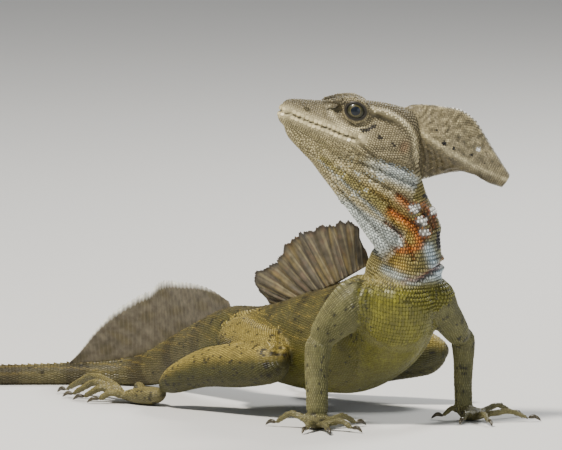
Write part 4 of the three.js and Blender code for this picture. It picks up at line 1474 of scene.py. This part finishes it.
# %% Colours of the crest
CREST_SPOTS = [
    (62.3, 10.2, 0.9), (66.5, 9.4, 0.7), (58, 14, 0.5), (70, 13, 0.4), (74, 9.5, 0.5), (80, 8, 0.4),
]
samples = np.linspace(0, 1, 200)
edge_tree = finder(np.vstack([top_line.at(samples), foot_line.at(samples)]))
fold_tree = finder(fold_line.at(samples))


def crest_colours(spots):
    x, z = spots[:, 0], spots[:, 2]
    edge_away, fold_away = nearest(edge_tree, spots)[1], nearest(fold_tree, spots)[1]
    fold_level = np.interp(x, [station[0] for station in CREST_FOLD], [station[2] for station in CREST_FOLD])
    fan = np.arctan2(z - 2, x - 44)
    streaks = np.sin(fan * 46 + 2.2 * np.sin(x * 0.55)) * np.sin(x * 0.8 + fan * 9)
    colour = painted(
        solid(len(spots), "head_top"),
        ("head", 0.6),
        ("bar", 0.5 * step(streaks, 0.1, 0.9)),
        ("jaw", 0.5 * step(-streaks, 0.3, 0.95)),
        # Painted shade darkens the crest below its fold, where its lower part faces down, and a painted
        # highlight runs along the fold.
        ("bar", 0.6 * step(fold_level - z, 0.4, 3)),
        ("cream", 0.95 * bell(fold_away / 0.8)),
        ("white", 0.6 * bell(edge_away / 0.6) * (x > 50)),
    )
    for spot_x, spot_z, radius in CREST_SPOTS:
        colour = blend(colour, "black", fall(np.hypot(x - spot_x, z - spot_z), radius - 0.2, radius + 0.2))
    return blend(colour, "white", fall(np.hypot(x - 76, z - 12.2), 0.6, 1.1))


paint_points(crest.data, crest_colours(to_head(read_points(crest.data))) * 0.75)
print("spots on the crest:", len(CREST_SPOTS) + 1)


# %% Scales of the crest
def crest_places(across_count, along_count):
    """Places for the small flat scales on both faces of the crest."""
    found, small = [], 2e-3
    for row in range(along_count):
        v = np.full(across_count, (row + 0.5) / along_count)
        u = (np.arange(across_count) + 0.5 * (row % 2) + 0.25) / across_count
        spot = crest_rule(u, v)
        across, along = slopes(crest_rule, u, v, small)
        out = unit(np.cross(along, across))
        out *= np.sign(np.sum(out * (spot - crest_middle(there_and_back(u), v)), 1, keepdims=True))
        wide = np.linalg.norm(across, axis=1) / (2 * small) / across_count
        long = np.linalg.norm(along, axis=1) / (2 * small) / along_count
        rest = np.stack([wide, long, v * 50, u * TURN, np.arange(across_count)], 1)
        found.append(np.hstack([from_head(spot), along @ HEAD_TURN.T, out @ HEAD_TURN.T, rest]))
    return np.vstack(found)


crest_part = {"name": "crest", "rows": crest_places(78, 66), "height": 0.12, "shape": "plate"}
tint = 1 + chance.normal(0, 0.2, (len(crest_part["rows"]), 1))
crest_part["colour"] = crest_colours(to_head(crest_part["rows"][:, POINT])) * tint
coat_pieces.append(scale_piece("coat_crest", [crest_part]))
print("scales on the crest:", len(crest_part["rows"]))

# %% [markdown]
# ## The two sails
# Stiff rays grow from the backbone and hold up a thin web that is pleated between them. The sail on the back
# has few, strong, ragged rays, and the one on the tail has many fine ones. Each is a two-faced sheet between
# a root line and a tip line, thicker on each ray and set back between rays at its edge.

# %% The sails' own lines
BACK_SAIL = {
    "root": [(-11, 25, 60), (-17, 35, 55.5), (-24, 45, 50.5), (-33, 58, 45.5), (-45, 75, 39.5)],
    "tips": [(-11, 26, 66), (-14, 28, 72), (-17, 31, 76.5), (-21, 36, 77.6), (-25, 41, 76), (-28, 46, 75.5),
             (-33, 52, 72), (-38, 58, 70.5), (-42, 63, 67), (-44, 68, 61), (-50, 76, 56), (-55, 84, 51),
             (-54, 86, 45),
             (-49.5, 82, 40)],
    "rays": 17, "fine": 12, "rows": 30, "web": 0.22, "ridge": 0.3, "notch": 0.045, "pleat": 1.5,
    "ragged": 0.02,
}
TAIL_SAIL = {
    "root": [(-63, 101, 35.5), (-75, 122, 27), (-86, 141, 19), (-95, 152, 13), (-106, 158, 9.4),
             (-118, 160, 8.2),
             (-128, 160.5, 7.2)],
    "tips": [(-64.2, 104, 38.6), (-70.8, 114, 42.3), (-77.3, 125, 43.5), (-83, 135, 43.3), (-88, 143, 43.3),
             (-91.9, 148, 41.7), (-94.5, 150.5, 38.8), (-99.6, 154, 36.1), (-107, 158, 31),
             (-113.8, 159, 25.2),
             (-119.6, 160, 17.8), (-123.5, 160, 12.4), (-127, 160, 8.7)],
    "rays": 46, "fine": 6, "rows": 24, "web": 0.28, "ridge": 0.18, "notch": 0.035, "pleat": 0.2,
    "ragged": 0.003,
}
print("rays:", BACK_SAIL["rays"], "and", TAIL_SAIL["rays"])


# %% The shape of a sail
def sail_parts(sail):
    root, tips = Line(sail["root"]), Line(sail["tips"])
    rays = sail["rays"]
    uneven = 1 - chance.uniform(0, 1, rays + 2) ** 2 * sail["ragged"] * 4
    crook = chance.normal(0, 0.35, rays + 2) * sail["pleat"]
    torn = chance.uniform(0, sail["ragged"] * 2, rays * sail["fine"] + 1)

    def on_ray(u):
        return np.cos(math.pi * rays * u) ** 2

    def middle(v, u):
        low, high = root.at(u), tips.at(u)
        long = np.interp(u * rays, np.arange(rays + 2), uneven)
        tear = np.interp(u, np.linspace(0, 1, len(torn)), torn)
        lift = v * (long - tear) * (1 - sail["notch"] * (1 - on_ray(u) ** 0.6) * v)
        flat = low + (high - low) * lift[:, None]
        sideways = unit(np.cross(root.along(u), unit(high - low)))
        bend = sail["pleat"] * (on_ray(u) - 0.5) * np.sin(math.pi * np.clip(v, 0, 1) ** 0.7) * 0.9
        bend = bend + np.interp(u * rays, np.arange(rays + 2), crook) * v**2
        bend = bend + sail["pleat"] * 0.55 * np.cos(10 * math.pi * u + 0.8) * np.sqrt(v)
        return flat + sideways * bend[:, None]

    def half(v, u):
        web = sail["web"] * (1 - 0.45 * v)
        ridge = sail["ridge"] * on_ray(u) ** 3 * (1 - 0.55 * v)
        return (web + ridge) * thin_edge(v, u)

    return middle, half, on_ray


def sail_piece(name, sail, colour_rule):
    """Bends a sail, finds each point's place along (u) and up (v) it again, and paints it by that place."""
    middle, half, on_ray = sail_parts(sail)
    columns, rows = sail["rows"] * 2, sail["rays"] * sail["fine"]
    piece = new_piece(name, bent_grid(columns, rows, two_faced(middle, half)))
    v, u = (grid.ravel() for grid in np.meshgrid(
        np.linspace(0, 1, sail["rows"] + 1), np.linspace(0, 1, rows * 2 + 1), indexing="ij"
    ))
    spots = read_points(piece.data)
    number, _ = nearest(finder(middle(v, u)), spots)
    paint_points(piece.data, colour_rule(u[number], v[number], on_ray(u[number]), spots))
    print(name, "faces:", len(piece.data.polygons))
    return piece


# %% Colours of the sails
def back_sail_colours(u, v, ray, spots):
    x, z = spots[:, 0], spots[:, 2]
    tint = np.random.default_rng(3).uniform(0, 1, 40)[np.floor(u * BACK_SAIL["rays"] + 0.5).astype(int)]
    cloud = np.sin(x * 0.9 + 2 * np.sin(z * 0.5)) * np.sin(z * 0.7 + x * 0.3)
    colour = painted(
        solid(len(u), "bar"),
        ("tail_grey", 0.28 + 0.3 * tint + 0.12 * cloud),
        ("gold", 0.35 * step(np.sin(v * 4 + tint * 9), 0.2, 1) * (1 - ray)),
        ("rust", 0.15 * step(cloud, 0.2, 0.8)),
        ("jaw", (0.25 + 0.5 * tint) * step(ray, 0.8, 0.99) * fall(v, 0.8, 0.98)),
        ("bar", 0.6 * fall(ray, 0.02, 0.22)),
    )
    return blend(colour * 0.82, "black", 0.75 * step(v, 0.9, 0.98))


def tail_sail_colours(u, v, ray, spots):
    x, z = spots[:, 0], spots[:, 2]
    cloud = np.sin(x * 0.42 + 1.7 * np.sin(z * 0.31)) * np.sin(z * 0.55 + x * 0.11)
    colour = painted(
        solid(len(u), "tail_grey"),
        ("bar", 0.5 + 0.16 * cloud),
        ("back", 0.4 * step(cloud, 0, 0.8)),
        ("tail_grey", 0.35 * step(ray, 0.6, 0.95)),
        ("back", 0.5 * fall(v, 0, 0.2)),
    )
    return blend(colour * 0.74, "white", 0.8 * step(v, 0.87, 0.97) * step(u, 0.02, 0.2))


back_sail = sail_piece("back_sail", BACK_SAIL, back_sail_colours)
tail_sail = sail_piece("tail_fin_sail", TAIL_SAIL, tail_sail_colours)

# %% [markdown]
# ## Finishes
# Skin, horn and the web of the sails are all matt with a soft sheen, but the grain differs. Each finish reads
# the painted markings, varies them a little with noise on Object coordinates, and raises a fine bump. The eye
# has its own: rings of colour under a clear wet coat.

# %% Helpers for node materials
def new_material(name):
    material = bpy.data.materials.new(name)
    material.use_nodes = True
    return material, material.node_tree.nodes["Principled BSDF"]


def add_node(material, kind, values=None, feeds=None, **settings):
    """Adds a shader node, sets its fields and values, and links what feeds it."""
    node = material.node_tree.nodes.new("ShaderNode" + kind)
    for name, value in settings.items():
        setattr(node, name, value)
    set_inputs(node, values or {})
    feed(material, node, feeds or {})
    return node


def feed(material, node, feeds):
    for name, output in feeds.items():
        material.node_tree.links.new(output, node.inputs[name])


# %% Skin, scales, horn and web
def finish(name, roughness, grain, bump, variation=0.25, specular=0.4, subsurface=0.0, pebbled=False):
    material, shader = new_material(name)
    set_inputs(shader, {
        "Roughness": roughness, "Specular IOR Level": specular, "Subsurface Weight": subsurface,
        "Subsurface Radius": (0.6, 0.4, 0.25), "Subsurface Scale": 0.0015,
    })
    markings = add_node(material, "Attribute", attribute_name="Markings")
    place = {"Vector": add_node(material, "TexCoord").outputs["Object"]}
    cloud = add_node(material, "TexNoise", {"Scale": grain, "Detail": 4}, place)
    limits = {"From Min": 0.3, "From Max": 0.7, "To Min": 1 - variation, "To Max": 1 + variation}
    spread = add_node(material, "MapRange", limits, {"Value": cloud.outputs["Fac"]})
    scaled = {0: markings.outputs["Color"], "Scale": spread.outputs["Result"]}
    tint = add_node(material, "VectorMath", feeds=scaled, operation="SCALE")
    if pebbled:
        height = add_node(material, "TexVoronoi", {"Scale": 1100}, place).outputs["Distance"]
    else:
        height = add_node(material, "TexNoise", {"Scale": grain * 6}, place).outputs["Fac"]
    depth = {"Strength": 0.7, "Distance": bump}
    relief = add_node(material, "Bump", depth, {"Height": height}, invert=pebbled)
    feed(material, shader, {"Base Color": tint.outputs["Vector"], "Normal": relief.outputs["Normal"]})
    return material


skin_finish = finish("skin_between_scales", 0.55, 260, 0.0003, 0.2, 0.3, 0.05, pebbled=True)
scale_finish = finish("scales", 0.4, 420, 0.00005, 0.25, 0.45, 0.0)
lid_finish = finish("eyelid", 0.45, 500, 0.00005)
horn_finish = finish("claw_horn", 0.3, 300, 0.00005, 0.4, 0.5)
crest_finish = finish("crest_skin", 0.55, 620, 0.00018, 0.38, 0.4, 0.08)
web_finish = finish("sail_web", 0.55, 380, 0.0001, 0.35, 0.35, 0.1)
print("painted finishes:", len([skin_finish, scale_finish, lid_finish, horn_finish, crest_finish, web_finish]))

# %% The wet eye
EYE_RINGS = [
    (0.0, (0.006, 0.009, 0.014, 1)), (1.0, (0.02, 0.017, 0.012, 1)), (0.27, (0.005, 0.009, 0.016, 1)),
    (0.295, (0.13, 0.1, 0.03, 1)), (0.33, (0.05, 0.047, 0.018, 1)), (0.45, (0.03, 0.03, 0.014, 1)),
    (0.52, (0.012, 0.011, 0.008, 1)), (0.58, (0.005, 0.004, 0.004, 1)),
]
wet_eye, eye_shader = new_material("wet_eye")
set_inputs(eye_shader, {
    "Roughness": 0.35, "Specular IOR Level": 0.2, "Coat Weight": 0.35, "Coat Roughness": 0.02,
})
polar = add_node(wet_eye, "Attribute", attribute_name="Polar").outputs["Fac"]
eye_place = add_node(wet_eye, "TexCoord").outputs["Object"]
streaks = add_node(wet_eye, "TexNoise", {"Scale": 1800}, {"Vector": eye_place}).outputs["Fac"]
shaken = add_node(wet_eye, "Math", {1: 0.05}, {0: streaks, 2: polar}, operation="MULTIPLY_ADD")
rings = add_node(wet_eye, "ValToRGB", feeds={"Fac": shaken.outputs["Value"]})
ramp = rings.color_ramp
for element, (_, colour) in zip(ramp.elements, EYE_RINGS[:2]):
    element.color = colour
for position, colour in EYE_RINGS[2:]:
    ramp.elements.new(position).color = colour
feed(wet_eye, eye_shader, {"Base Color": rings.outputs["Color"]})
print("rings in the eye:", len(ramp.elements))

# %% [markdown]
# ## Tying the pieces to the frame
# Every piece rides on the one body of this still model and hides the solids that it stands for.

# %% Riding and replacing
OWN_PIECES = ("eye_left", "eye_right", "head_crest", "dorsal_sail", "tail_sail")
FLESH = [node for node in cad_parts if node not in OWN_PIECES]
COAT_SLOTS = {
    "coat_head": "head_skin", "coat_neck": "head_skin", "coat_lips": "head_skin", "coat_crest": "crest",
}


def settle(piece, material, slot, *nodes):
    piece.data.materials.clear()
    piece.data.materials.append(material)
    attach(piece, "root")
    if nodes:
        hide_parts(*nodes)


settle(skin, skin_finish, "body_skin", *FLESH)
for piece in coat_pieces:
    settle(piece, scale_finish, COAT_SLOTS.get(piece.name.rstrip("_12"), "body_skin"))
for ball, node in eye_pieces:
    settle(ball, wet_eye, "eye", node)
settle(lids, lid_finish, "head_skin")
settle(claws, horn_finish, "body_skin")
settle(crest, crest_finish, "crest", "head_crest")
settle(back_sail, web_finish, "sail", "dorsal_sail")
settle(tail_sail, web_finish, "sail", "tail_sail")
